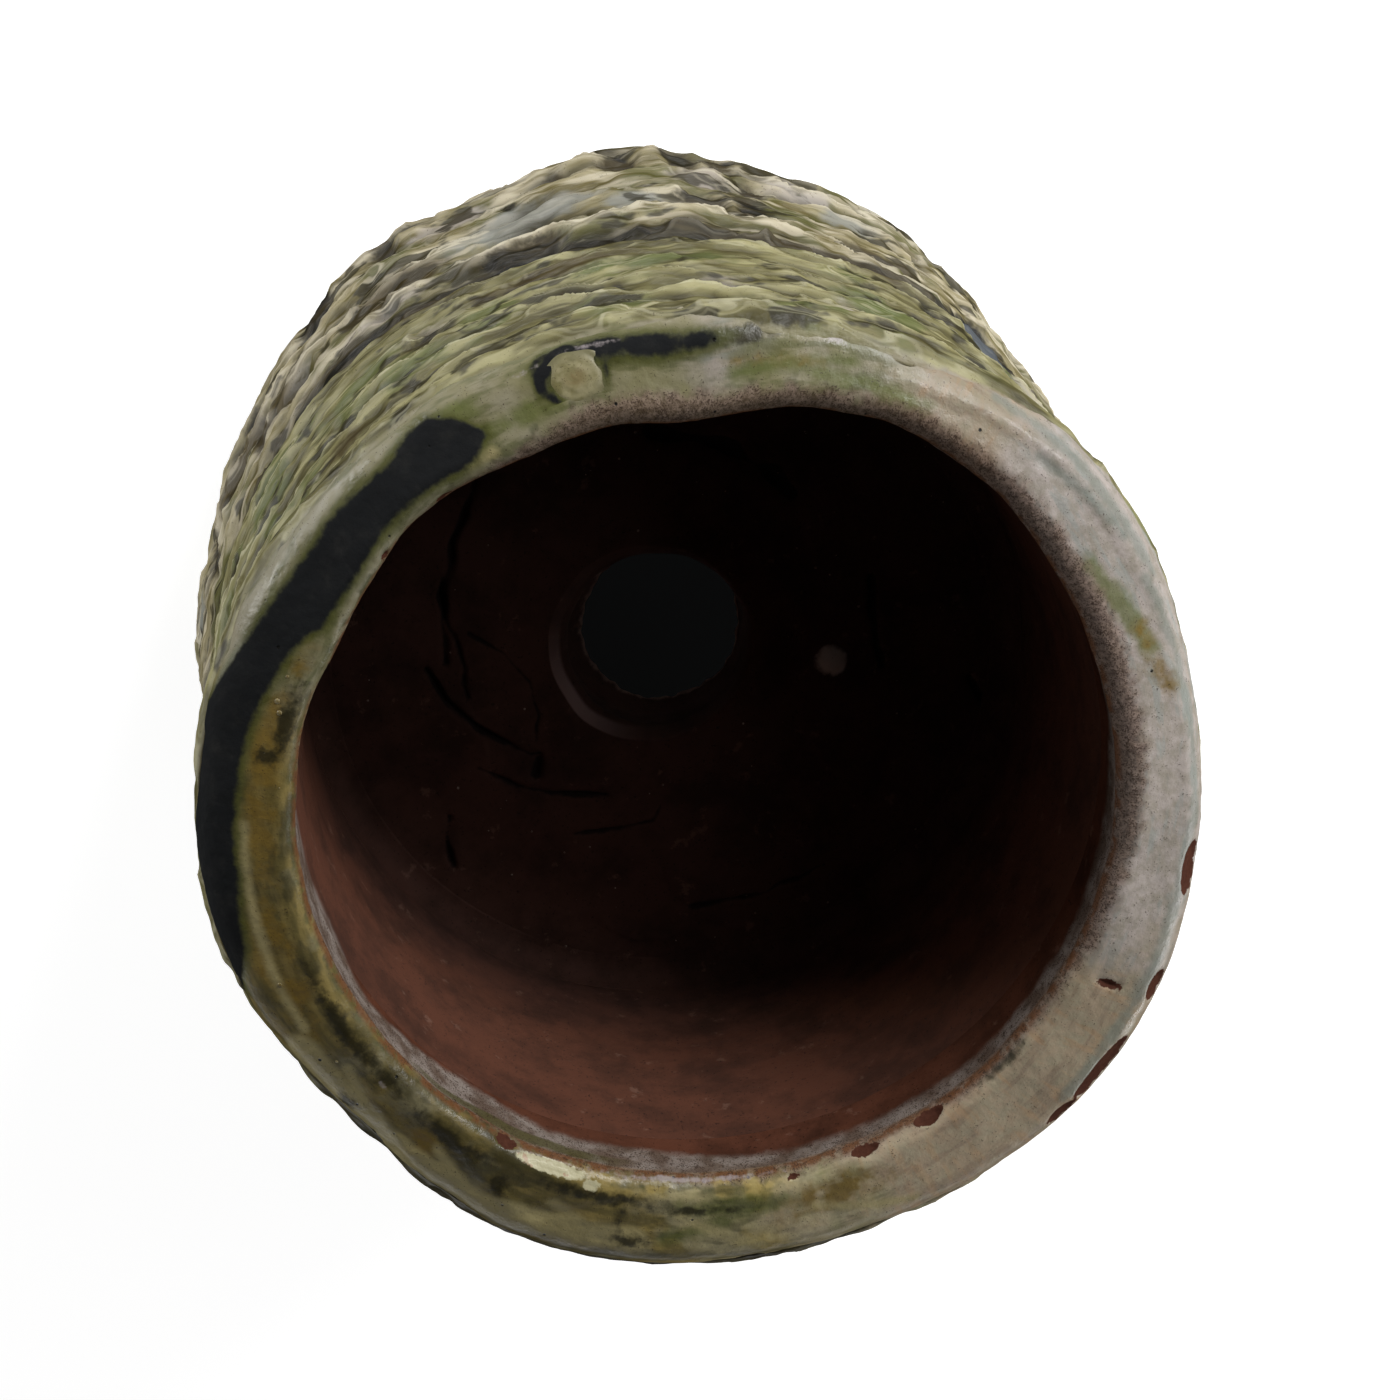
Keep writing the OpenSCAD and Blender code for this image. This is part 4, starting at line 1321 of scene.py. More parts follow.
def bark_darks(bench, place, streak):
    """The placed pools and the glaze that ran along the groove, as one mask."""
    placed = frayed(bench, "pool", 9.0, 6.0, place, -2.2, 2.4)
    run = bench.ramp(bench.math("MULTIPLY_ADD", streak, 1.1, read(bench, "groove")), 0.74, 1.10)
    return bench.most(bench.times(placed, 0.92), bench.times(run, 0.9))


def faded_to_lip(bench, place, colour):
    """The bark's edge fired dark at the back left; then its colour gives way to the lip's."""
    burnt = bench.math("MULTIPLY_ADD", bench.cloud(place, 6.0, 3.0, 0.6), 0.5, read(bench, "brink"))
    colour = bench.lay(colour, paint(46, 38, 26), bench.ramp(burnt, 0.62, 0.95), 0.8)
    mask = bench.math("MULTIPLY_ADD", bench.cloud(place, 5.0, 3.0, 0.6), 0.8, read(bench, "fade"))
    # The lip's colour here carries its painted light and shade
    return bench.blend(bench.ramp(mask, 0.62, 1.1), colour, lip_base(bench, place, "lip_"))


def bark_material(band, sizes, over_lip):
    material, bench, shader = new_material(band + "_bark_glaze")
    tones = BARK_TONES[band]
    place = read_place(bench, "place")
    relief = bench.group(RELIEF_SHADE, Place=place, Turns=read(bench, "turns"),
                         Strength=read(bench, "strength"), **sizes)
    streak = relief.outputs["Streak"]
    body, slow, brown = bark_body(bench, place, tones, streak, BLOT_FROM[band])
    # Painted light: each slope is lightened towards its crest, as painted shading of the relief
    crest_painted_light = bench.ramp(relief.outputs["Slope"], 0.35, 0.95)
    body = bench.lay(body, tones["light"], crest_painted_light, 0.55)
    # The recesses darken: pooled glaze, deepened with painted shade
    pooled = bench.times(relief.outputs["Pool"], bench.ramp(slow, 0.60, 0.40, 0.5, 1.0))
    colour = bench.blend(pooled, body, tones["pool"])
    dark = bark_darks(bench, place, streak)
    colour = bench.blend(dark, colour, bench.blend(bench.ramp(streak, 0.4, 0.6), TAR, paint(52, 45, 30)))
    # The pale crest line: partly thin glaze over the edge, partly a painted highlight
    thin = bench.times(relief.outputs["Crest"], bench.ramp(slow, 0.3, 0.6, *CREST_COVER),
                       bench.ramp(dark, 0.3, 0.9, 1.0, 0.12))
    colour = bench.blend(thin, colour, tones["crest"])
    colour = bench.lay(colour, PATCH_TONES["brown"], brown, BROWN_VEIL)
    slate = frayed(bench, "slate", 16.0, 10.0, place, -2.0, 2.4)
    within = bench.ramp(read(bench, "slate"), 1.0, 7.0)
    colour = bench.blend(slate, colour, bench.blend(within, paint(34, 34, 32), paint(78, 82, 86)))
    if over_lip:
        colour = faded_to_lip(bench, place, colour)
    specks = bench.group(SPECKS, Place=place, Amount=0.08).outputs["Mask"]
    colour = bench.lay(colour, BROWN, specks, 0.55)
    bench.feed(shader.inputs["Base Color"], colour)
    wet = bench.most(dark, pooled, slate)
    rough = bench.ramp(wet, 0.0, 1.0, 0.42, 0.32)
    glaze_gloss(bench, shader, rough, bench.ramp(wet, 0.0, 1.0, 0.22, 0.10))
    thread = bench.cloud(place, 9.0, 3.0, 0.6, stretch=(1.0, 1.0, 4.0))
    peel = bench.math("MULTIPLY_ADD", thread, 1.2, bench.cloud(place, 3.0, 2.0, 0.5))
    set_bump(bench, shader, peel, 0.3)
    return material


UPPER_SIZES = {"Ridge_height": 3.6, "Ragged": 1.0, "Lumps": 0.5, "Dimples": 0.3}
LOWER_SIZES = {"Ridge_height": 4.2, "Ragged": 0.8, "Lumps": 1.0, "Dimples": 1.0}
UPPER_GLAZE = bark_material("upper", UPPER_SIZES, True)
LOWER_GLAZE = bark_material("lower", LOWER_SIZES, False)
upper_bark = grown(upper_plain, CARVING, "upper_bark_carved", Glaze=UPPER_GLAZE, **UPPER_SIZES)
lower_bark = grown(lower_plain, CARVING, "lower_bark_carved", Glaze=LOWER_GLAZE, **LOWER_SIZES)
finish_piece(upper_bark, UPPER_GLAZE, ["upper_bark_band"])
finish_piece(lower_bark, LOWER_GLAZE, ["lower_bark_band"])

# %% [markdown]
# ## Inside wall
# The wall was thrown, so its inside keeps faint level rings. It is a ring like the lip, with the bore on
# one side and the hidden seat of the bark on the other.

# %% Inside wall
WALL_COLUMNS = 360
WALL_ROWS = 120


def make_wall():
    bearing = around(WALL_COLUMNS)
    rows = np.append(np.linspace(WALL_FOOT_MM, SEAT_MM - EDGE_HOLD_MM, WALL_ROWS), SEAT_MM)
    height = level(WALL_COLUMNS, *rows)
    rings = 0.05 * np.sin(height / 1.45 + 1.5 * np.sin(np.radians(bearing * 2)))
    rings += 0.14 * np.sin(height / 5.2 + 0.8 * np.cos(np.radians(bearing * 3)))
    turn = np.radians(bearing)
    rings += 0.5 * lumps(stacked(BORE_MM * np.sin(turn), BORE_MM * np.cos(turn), height), 28.0, 5.5)
    inner = BORE_MM + rings * np.clip((SEAT_MM - height) / 8, 0, 1)
    radius = np.vstack([inner, level(WALL_COLUMNS, *WALL_OUT_MM[::-1])])
    height = np.vstack([height, level(WALL_COLUMNS, SEAT_MM, WALL_FOOT_MM)])
    wall = ring_piece("inside_wall", radius, height)
    mark(wall, "curtain", np.clip(height - curtain_height(bearing), -20, 20))
    return wall


finish_piece(make_wall(), WALL_CLAY, ["body_wall"])

# %% [markdown]
# ## Floor
# The floor is a thick disc, pressed in by hand. Fingers dragged wet clay over it in overlapping smears,
# and the smears cracked as they dried. A smear is raised behind a curved edge and fades away from it. A
# crack is a narrow groove along a few points. The drain hole was cut with a knife while the clay was
# soft: its upper edge was trimmed back and its lower edge is ragged.

# %% Floor shape
FLOOR_COLUMNS = 480
HOLE_ROWS, TOP_ROWS = 26, 118
# Width and depth of a crack, and the points that it runs through
CRACKS = [
    (2.2, 2.6, [(42, -80), (56, -63), (66, -46), (70, -33), (73, -23)]),
    (1.1, 1.6, [(64, -52), (68, -40), (67, -26), (70, -8)]),
    (1.8, 2.2, [(80, -22), (77, -8), (70, 5), (57, 19), (53, 21)]),
    (0.8, 0.8, [(62, -30), (53, -19), (48, -6), (49, 6), (53, 16)]),
    (1.5, 1.8, [(75, 18), (65, 29), (54, 36), (36, 43)]),
    (3.2, 2.6, [(57, 28), (54, 23)]),
    (1.6, 1.8, [(91, 32), (95, 42), (96, 51)]),
    (1.1, 1.2, [(52, 53), (36, 57), (24, 58), (19, 54)]),
    (2.4, 1.4, [(-77, -2), (-73, 17), (-72, 30)]),
    (6.0, 1.6, [(-21, -77), (-42, -65), (-56, -48), (-60, -40)]),
    (1.8, 1.6, [(-100, 45), (-103, 56)]),
    (1.4, 1.0, [(20, 95), (-5, 99), (-30, 96)]),
]
# Centre, radius, and the bearing of the middle of the raised edge
SMEARS = [((78, 62), 30, 200), ((60, 8), 24, 250), ((30, 78), 26, 160), ((-5, 82), 30, 120),
          ((95, 5), 26, 280), ((45, -55), 27, 300), ((-70, 45), 32, 80), ((-45, -70), 30, 20),
          ((5, -75), 26, 330), ((-85, -20), 26, 60), ((62, 88), 24, 190)]
BLOB = (-55, 22)
BLOB_MM = 5.6
# Radius inside which the underside of the floor runs straight to the hole
UNDER_INNER_MM = 80.0


def polyline_gap(x, y, points):
    """Distance in millimetres from each point to a line through a few points."""
    nearest_gap = np.full(x.shape, 1e3)
    for (x0, y0), (x1, y1) in zip(points[:-1], points[1:]):
        dx, dy = x1 - x0, y1 - y0
        share = np.clip(((x - x0) * dx + (y - y0) * dy) / (dx ** 2 + dy ** 2), 0, 1)
        nearest_gap = np.minimum(nearest_gap, np.hypot(x - x0 - share * dx, y - y0 - share * dy))
    return nearest_gap


def floor_relief(x, y):
    """How high each point of the floor stands, and how far it lies inside a crack."""
    flat = stacked(x, y, 0.0)
    wobble = lumps(flat, 7.0, 2.2)
    relief = 0.5 * lumps(flat, 21.0, 6.4) + 0.16 * wobble
    for (cx, cy), radius, facing in SMEARS:
        gap = radius + 1.6 * wobble - np.hypot(x - cx, y - cy)
        away = turn_gap(np.degrees(np.arctan2(x - cx, -(y - cy))), facing)
        edge = np.clip(gap / 0.9, 0, 1) * np.exp(-np.maximum(gap, 0) / 9) * bump(away, 42)
        relief += 0.9 * edge
    crack = np.full(x.shape, -20.0)
    taper = np.clip(0.7 + 1.4 * lumps(flat, 12.0, 8.8), 0.05, 1.5)
    for width, depth, points in CRACKS:
        gap = polyline_gap(x + 0.9 * wobble, y - 0.9 * wobble, points)
        relief -= 1.3 * depth * taper * np.exp(-(gap / (0.55 * width)) ** 2)
        crack = np.maximum(crack, 0.5 * width * taper - gap)
    blob = np.hypot(x - BLOB[0], y - BLOB[1]) + 1.2 * wobble
    return relief + 1.6 * np.clip(1 - (blob / BLOB_MM) ** 2, 0, 1), crack


# Middle of the hole at its lower and at its upper edge
DRAIN_MIDDLE, DRAIN_TOP_MIDDLE = (-1.7, -3.0), (3.5, -5.0)
# The section between them: share of the way up, share of the way out from lower to upper radius
DRAIN_SECTION = [(0.0, 0.0), (0.04, -0.05), (0.10, 0.25), (0.2, 0.55), (0.5, 0.62), (0.74, 0.48),
                 (0.82, 0.50), (0.91, 0.74), (0.97, 0.92), (1.0, 1.06)]
# Bearing of the painted highlight on the trimmed edge, and how far down and up the two edges reach
LIT_EDGE_BEARING = 100
TRIM_MM = 6.5
BURR_MM = 1.6


def off_circle(turn, middle, radius):
    """Distance from the axis to a circle that is not centred on it."""
    along = middle[0] * np.sin(turn) - middle[1] * np.cos(turn)
    across = middle[0] * np.cos(turn) + middle[1] * np.sin(turn)
    return along + np.sqrt(radius ** 2 - across ** 2)


def drain_rows(turn):
    """Rows of radius and height up the hole, from its ragged lower edge to its trimmed upper one."""
    knife = 0.6 * np.sin(3 * turn + 0.8) + 0.45 * np.sin(7 * turn) + 0.3 * np.sin(13 * turn + 2)
    ragged = 0.5 * np.sin(5 * turn + 1) + 0.35 * np.sin(17 * turn) + 0.25 * np.sin(31 * turn + 1)
    rise = np.linspace(0, 1, HOLE_ROWS)[:, None]
    out = np.interp(rise, *np.transpose(DRAIN_SECTION))
    low = off_circle(turn, DRAIN_MIDDLE, DRAIN_MM)
    high = off_circle(turn, DRAIN_TOP_MIDDLE, DRAIN_TOP_MM)
    radius = low + (high - low) * out + 0.5 * knife * rise + ragged * np.clip(1 - rise / 0.10, 0, 1)
    return radius, FLOOR_UNDER_MM + (FLOOR_TOP_MM - FLOOR_UNDER_MM) * rise + np.zeros(FLOOR_COLUMNS)


def make_floor():
    bearing = around(FLOOR_COLUMNS)
    turn = np.radians(bearing)
    hole_r, hole_z = drain_rows(turn)
    edge_r = hole_r[-1]
    out = np.linspace(0, 1, TOP_ROWS)[1:, None]
    top_r = edge_r + (BORE_MM - edge_r) * out
    relief, crack = floor_relief(top_r * np.sin(turn), -top_r * np.cos(turn))
    settle = np.clip((BORE_MM - top_r) / 8, 0, 1) * np.clip((top_r - edge_r) / 3, 0, 1)
    top_z = FLOOR_TOP_MM + relief * settle
    under_r = level(FLOOR_COLUMNS, BORE_MM, UNDER_INNER_MM)
    radius = np.vstack([hole_r, top_r, under_r])
    height = np.vstack([hole_z, top_z, level(FLOOR_COLUMNS, FLOOR_UNDER_MM, FLOOR_UNDER_MM)])
    slab = ring_piece("floor_slab_smeared", radius, height)
    x, y = radius * np.sin(turn), -radius * np.cos(turn)
    blob = BLOB_MM - np.hypot(x - BLOB[0], y - BLOB[1])
    crack = np.vstack([np.full(hole_r.shape, -20.0), crack, np.full(under_r.shape, -20.0)])
    bevel = np.clip(radius - edge_r, -20, 20)
    # How strong the painted highlight on the trimmed edge is at each bearing
    trim = np.zeros(radius.shape) + 0.08 + 0.8 * bump(turn_gap(bearing, LIT_EDGE_BEARING), 27)
    burr = np.clip(FLOOR_UNDER_MM + BURR_MM - height, -20, 20)
    mark_all(slab, blob=np.where(height > FLOOR_TOP_MM - 3, blob, -20.0), crack=crack,
             cut=np.where(height > FLOOR_TOP_MM - TRIM_MM, bevel, -20.0), trim=trim,
             burr=np.where(radius < 60, burr, -20.0))
    return slab


floor_slab = make_floor()

# %% [markdown]
# ## Floor clay
# The floor is the same clay in a darker red, with the pale grey blob of slip that dropped on it. Its
# cracks are coloured dark as painted shade. The trimmed edge of the hole carries a painted highlight on
# one side, and its lower edge has a pale burr.

# %% Floor clay
def floor_material():
    material, bench, shader = new_material("floor_clay")
    place = object_mm(bench)
    skin = bench.group(CLAY_SKIN, Place=place, Light=FLOOR_CLAY, Dark=FLOOR_CLAY_DARK)
    colour = skin.outputs["Colour"]
    # Painted shade: the cracks are coloured nearly black
    colour = smeared(bench, place, colour, "crack", 1.6, 5.0, -0.8, 0.4, paint(16, 9, 8), 0.85)
    colour = smeared(bench, place, colour, "blob", 4.0, 5.0, -0.8, 1.6, paint(196, 188, 182), 0.9)
    # Painted highlight: the bevel of the trimmed edge is lightened, most on one side
    cut = read(bench, "cut")
    cut = bench.times(bench.ramp(cut, 0.2, -0.6), bench.ramp(cut, -5.0, -3.4), read(bench, "trim"))
    colour = bench.lay(colour, paint(150, 126, 122), cut, 0.8)
    colour = smeared(bench, place, colour, "burr", 1.6, 3.0, -0.3, 0.5, paint(150, 124, 112), 0.6)
    bench.feed(shader.inputs["Base Color"], colour)
    bench.feed(shader.inputs["Roughness"], skin.outputs["Roughness"])
    shader.inputs["Specular IOR Level"].default_value = CLAY_SHINE
    set_bump(bench, shader, skin.outputs["Height"], 0.15)
    return material


finish_piece(floor_slab, floor_material(), ["floor_slab"])

# %% [markdown]
# ## Seams of the floor
# A coil was pressed into the corner above the floor and stroked hollow with a finger. The finger left
# shallow dents at an even step. The coil under the floor is out of sight, so the frame's own piece stays
# and only takes the clay material.

# %% Seam coils
SEAM_WIDE_MM = 9.0
FINGER_DENTS = 26
COIL_LIFT_MM = 0.35
COIL_ROWS = 18


def make_seam_coil():
    bearing = around(WALL_COLUMNS)
    dents = 0.35 * np.sin(np.radians(bearing * FINGER_DENTS) + 2 * np.sin(np.radians(bearing * 3)))
    angle = np.linspace(-np.pi / 2, 0, COIL_ROWS)[:, None]
    arc = SEAM_WIDE_MM + dents * np.sin(-2 * angle)
    centre = (BORE_MM - SEAM_WIDE_MM, FLOOR_TOP_MM + SEAM_WIDE_MM)
    radius = centre[0] + arc * np.cos(angle)
    height = centre[1] + arc * np.sin(angle) + COIL_LIFT_MM
    back = level(WALL_COLUMNS, BORE_MM + 0.4, BORE_MM + 0.4, BORE_MM - SEAM_WIDE_MM)
    back_z = level(WALL_COLUMNS, centre[1] + COIL_LIFT_MM, FLOOR_TOP_MM - 3, FLOOR_TOP_MM - 3)
    return ring_piece("floor_seam_stroked", np.vstack([radius, back]), np.vstack([height, back_z]))


finish_piece(make_seam_coil(), SEAM_CLAY, ["floor_seam_coil"])
UNDER_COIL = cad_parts["underfloor_seam_coil"]
UNDER_COIL.data.materials.clear()
UNDER_COIL.data.materials.append(SEAM_CLAY)

# %% [markdown]
# ## Pieces with a middle
# A foot and the knot are not rings: their sections run into the axis. `button_piece` turns a section
# round its own axis and closes both ends with a single point, and then sets it in place.

# %% Buttons
def button_piece(name, radius_mm, height_mm, place):
    """A closed round solid; the first and last rows shrink to points. place is a 4x4 matrix."""
    rows, columns = radius_mm.shape
    ends = np.array([[0, 0, height_mm[0].mean()], [0, 0, height_mm[-1].mean()]]) * MM
    points = np.vstack([on_pot(around(columns), radius_mm, height_mm), ends])
    quads = ring_faces(rows, columns)[:(rows - 1) * columns]
    i = np.arange(columns)
    i2 = (i + 1) % columns
    base, first, last = (rows - 1) * columns, rows * columns, rows * columns + 1
    caps = np.vstack([stacked(i2, i, first), stacked(base + i, base + i2, last)])
    turned = points @ np.array(place)[:3, :3].T + np.array(place)[:3, 3]
    return smooth_piece(name, turned, quads.tolist() + caps.tolist())


print("button maker ready")

# %% [markdown]
# ## Feet
# Three stubs of clay lift the pot. Each was rolled, pressed on and paddled, so it is a squat barrel
# with a flat bottom. Glaze ran over its sides and was wiped off the flat that stands on the kiln shelf.

# %% Feet
FOOT_NODES = ["foot_left_front", "foot_right_front", "foot_back"]
FOOT_ROWS = [(0.0, 21.5), (0.6, 22.6), (3.0, 24.2), (7.0, 26.6), (11.0, 29.2), (14.0, 30.4), (17.0, 30.8),
             (20.0, 30.0), (22.5, 28.2), (24.2, 25.8), (25.0, 23.0)]
FOOT_FINE_ROWS, FOOT_COLUMNS = 34, 120
# A foot is taken in by a little, so that its dents stay within the frame's foot
FOOT_TAKE_IN_MM = 0.4
FOOT_DENT_MM = 1.1


def foot_material():
    material, bench, shader = new_material("foot_glaze")
    place = object_mm(bench)
    height = bench.parts(place)[2]
    clouds = bench.cloud(place, 11.0, 3.0, 0.6)
    colour = bench.blend(bench.ramp(clouds, 0.4, 0.6), paint(124, 118, 88), paint(160, 152, 126))
    runs = bench.ramp(bench.cloud(place, 6.0, 3.0, 0.6), 0.52, 0.66)
    colour = bench.lay(colour, BROWN, runs, 0.7)
    skin = bench.group(CLAY_SKIN, Place=place, Light=RED_CLAY, Dark=RED_CLAY_DARK)
    wiped = bench.math("MULTIPLY_ADD", bench.math("SUBTRACT", clouds, 0.5), 9.0, height)
    bare = bench.ramp(wiped, 3.4, 2.4)
    bench.feed(shader.inputs["Base Color"], bench.blend(bare, colour, skin.outputs["Colour"]))
    bench.feed(shader.inputs["Roughness"], bench.ramp(bare, 0.0, 1.0, 0.32, 0.88))
    set_bump(bench, shader, bench.cloud(place, 3.0, 4.0, 0.6), 0.4)
    return material


def make_foot(node, number):
    low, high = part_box(node)
    middle = (low + high) / 2
    fine = np.linspace(0, len(FOOT_ROWS) - 1, FOOT_FINE_ROWS)
    height, radius = (level(FOOT_COLUMNS, *np.interp(fine, np.arange(len(FOOT_ROWS)), row))
                      for row in np.transpose(FOOT_ROWS))
    turn = np.radians(around(FOOT_COLUMNS))
    dents = lumps(stacked(radius * np.sin(turn), radius * np.cos(turn), height + 90 * number), 11.0, 1.3)
    side = np.sin(np.clip(height / 25, 0, 1) * np.pi)
    radius = radius - FOOT_TAKE_IN_MM + FOOT_DENT_MM * dents * side
    place = Matrix.Translation((middle.x, middle.y, 0))
    return button_piece(node + "_glazed", radius, height, place)


FOOT_GLAZE = foot_material()
for number, node in enumerate(FOOT_NODES):
    finish_piece(make_foot(node, number), FOOT_GLAZE, [node])

# %% [markdown]
# ## Knot
# A pellet pressed onto the lip, as a healed branch on a trunk. It is a low button with a soft edge and
# two faint growth rings, square to the slope of the lip and a little wider round the lip than across it.

# %% Knot
KNOT_MM = 8.8
KNOT_RISE_MM = 1.0
KNOT_ROWS, KNOT_COLUMNS = 22, 72


def knot_material():
    material, bench, shader = new_material("knot_glaze")
    place = object_mm(bench)
    clouds = bench.cloud(place, 5.0, 4.0, 0.6)
    colour = bench.blend(bench.ramp(clouds, 0.36, 0.64), paint(112, 106, 70), paint(142, 135, 102))
    specks = bench.group(SPECKS, Place=place, Amount=0.2).outputs["Mask"]
    colour = bench.lay(colour, BROWN, specks, 0.6)
    core = bench.times(bench.ramp(read(bench, "reach"), 0.5, 0.1), bench.ramp(clouds, 0.42, 0.56))
    colour = bench.lay(colour, paint(108, 92, 54), core, 0.7)
    colour = smeared(bench, place, colour, "reach", 0.6, 4.0, 0.5, 0.95, paint(104, 100, 72), 0.85)
    bench.feed(shader.inputs["Base Color"], colour)
    bench.feed(shader.inputs["Roughness"], bench.ramp(clouds, 0.3, 0.7, 0.3, 0.42))
    set_bump(bench, shader, clouds, 0.3)
    return material


def make_knot():
    low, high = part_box("knot_pellet")
    middle = (low + high) / 2
    share = np.linspace(0, 1, KNOT_ROWS)[:, None]
    turn = np.radians(around(KNOT_COLUMNS))
    wobble = 1 - 0.13 * np.cos(2 * turn) + 0.03 * np.sin(5 * turn)
    reach = np.sin(share * np.pi / 2) ** 0.8
    top_r = np.maximum(KNOT_MM * reach[::-1], 0.35) * wobble
    rings = 0.08 * np.cos(top_r * 2.1)
    top_z = KNOT_RISE_MM * np.clip(1 - (top_r / (KNOT_MM * wobble)) ** 2.6, 0, 1) + rings - 0.4
    radius = np.vstack([0.4 * wobble[None], KNOT_MM * wobble[None], top_r])
    height = np.vstack([level(KNOT_COLUMNS, -2.0, -2.0), top_z])
    bearing = math.radians(KNOT_BEARING)
    front = LIP_COLUMNS // 2
    at_row = np.argmin(np.abs(lip_along[:, front] - KNOT_FROM_EDGE_MM))
    lean = float(lip_normal[at_row, front])
    on_lip = on_pot(KNOT_BEARING, lip_r[at_row, front], lip_z[at_row, front])[0]
    facing = Vector((math.cos(lean) * math.sin(bearing), -math.cos(lean) * math.cos(bearing),
                     math.sin(lean)))
    place = Matrix.Translation(on_lip) @ facing.to_track_quat("Z", "Y").to_matrix().to_4x4()
    print("knot set %.1f mm from the frame's knot" % ((Vector(on_lip) - middle).length / MM))
    knot = button_piece("knot_button", radius, height, place)
    mark(knot, "reach", np.append((radius / wobble).ravel() / KNOT_MM, [1.0, 0.0]))
    return knot


finish_piece(make_knot(), knot_material(), ["knot_pellet"])

# %% [markdown]
# ## Blisters and crumbs
# Bubbles stood up in the glaze between the brush stroke and the mouth, and crumbs of pale clay lie on
# the floor. They repeat by the dozen, so one Geometry Nodes tree scatters them: points on the faces of
# a piece, as dense as one of its attributes says, and a small flattened ball on each.

# %% Scatter tree
def make_scatter():
    inputs = {"Ground": ("NodeSocketGeometry", None), "Density": (FLOAT, 1000.0),
              "Smallest": (FLOAT, 0.4), "Largest": (FLOAT, 1.4), "Flatness": (FLOAT, 0.5),
              "Seed": ("NodeSocketInt", 3), "Finish": ("NodeSocketMaterial", None)}
    bench, given, put = new_group("Scatter", "GeometryNodeTree", inputs, {"Grains": "NodeSocketGeometry"})
    points = bench.add("GeometryNodeDistributePointsOnFaces")
    bench.feed(points.inputs["Mesh"], given["Ground"])
    bench.feed(points.inputs["Density"], bench.times(stored(bench, "grains"), given["Density"]))
    bench.feed(points.inputs["Seed"], given["Seed"])
    ball = bench.add("GeometryNodeMeshIcoSphere")
    ball.inputs["Radius"].default_value = 0.5 * MM
    ball.inputs["Subdivisions"].default_value = 2
    size = bench.add("FunctionNodeRandomValue", data_type="FLOAT")
    sizes = [socket for socket in size.inputs if socket.type == "VALUE"]
    bench.feed(sizes[0], given["Smallest"])
    bench.feed(sizes[1], given["Largest"])
    bench.feed(size.inputs["Seed"], given["Seed"])
    spread = [socket for socket in size.outputs if socket.type == "VALUE"][0]
    squashed = bench.join(spread, spread, bench.times(spread, given["Flatness"]))
    placed = bench.add("GeometryNodeInstanceOnPoints")
    bench.feed(placed.inputs["Points"], points.outputs["Points"])
    bench.feed(placed.inputs["Instance"], ball.outputs["Mesh"])
    bench.feed(placed.inputs["Rotation"], points.outputs["Rotation"])
    bench.feed(placed.inputs["Scale"], squashed)
    put("Grains", coated(bench, placed.outputs[0], given["Finish"]))
    return bench.tree


SCATTER = make_scatter()


def scattered(ground, weight, name, **values):
    """Grains on a copy of a finished piece, as dense as weight says."""
    copy = add_object(name + "_ground", ground.data.copy())
    mark(copy, "grains", weight)
    grains = grown(copy, SCATTER, name, **values)
    for face in grains.data.polygons:
        face.use_smooth = True
    return grains


# %% Blisters
def plain_glaze(name, dark, light, roughness):
    material, bench, shader = new_material(name)
    clouds = bench.cloud(object_mm(bench), 3.0, 3.0, 0.6)
    bench.feed(shader.inputs["Base Color"], bench.blend(bench.ramp(clouds, 0.4, 0.6), dark, light))
    bench.feed(shader.inputs["Roughness"], bench.ramp(clouds, 0.4, 0.6, roughness, roughness + 0.1))
    return material


by_the_stroke = bump(turn_gap(lip_bearing, 62), 12) * (lip_along > 6) * (lip_along < 17) * (lip_ink < -2)
at_its_end = 0.3 * bump(turn_gap(lip_bearing, 92), 10) * (lip_along > 10) * (lip_along < 24)
BLISTER = plain_glaze("blister_glaze", paint(96, 82, 44), paint(132, 120, 84), 0.25)
blisters = scattered(rim, by_the_stroke + at_its_end, "glaze_blisters", Density=9000.0, Smallest=0.6,
                     Largest=1.8, Flatness=0.4, Seed=4, Finish=BLISTER)
finish_piece(blisters, BLISTER, [])

# %% Crumbs
floor_heights = np.array([v.co.z for v in floor_slab.data.vertices]) / MM
CRUMB = plain_glaze("crumb_clay", paint(88, 66, 56), paint(150, 134, 124), 0.8)
crumbs = scattered(floor_slab, (floor_heights > FLOOR_TOP_MM - 2.5) * 1.0, "floor_crumbs", Density=2000.0,
                   Smallest=0.2, Largest=1.0, Flatness=0.6, Seed=7, Finish=CRUMB)
finish_piece(crumbs, CRUMB, [])

# %% [markdown]
# ## Floor of the studio
# The pot stands on a plain pale floor. Light Path lets the camera and reflections see it bright, while it
# keeps the pot's shadow. Right under the pot, where the eye looks down the drain hole, the floor is
# coloured nearly black as painted shade, with a faint painted glow.

# %% Studio floor
FLOOR_SIDE = 14.0
# Radii over which the painted shade under the pot gives way to the pale floor
PAINTED_SHADE_UNDER_POT_MM = (138.0, 152.0)
FLOOR_GLOW = 0.86
# A faint painted glow on the floor under the pot
UNDER_POT_PAINTED_GLOW = 0.0022


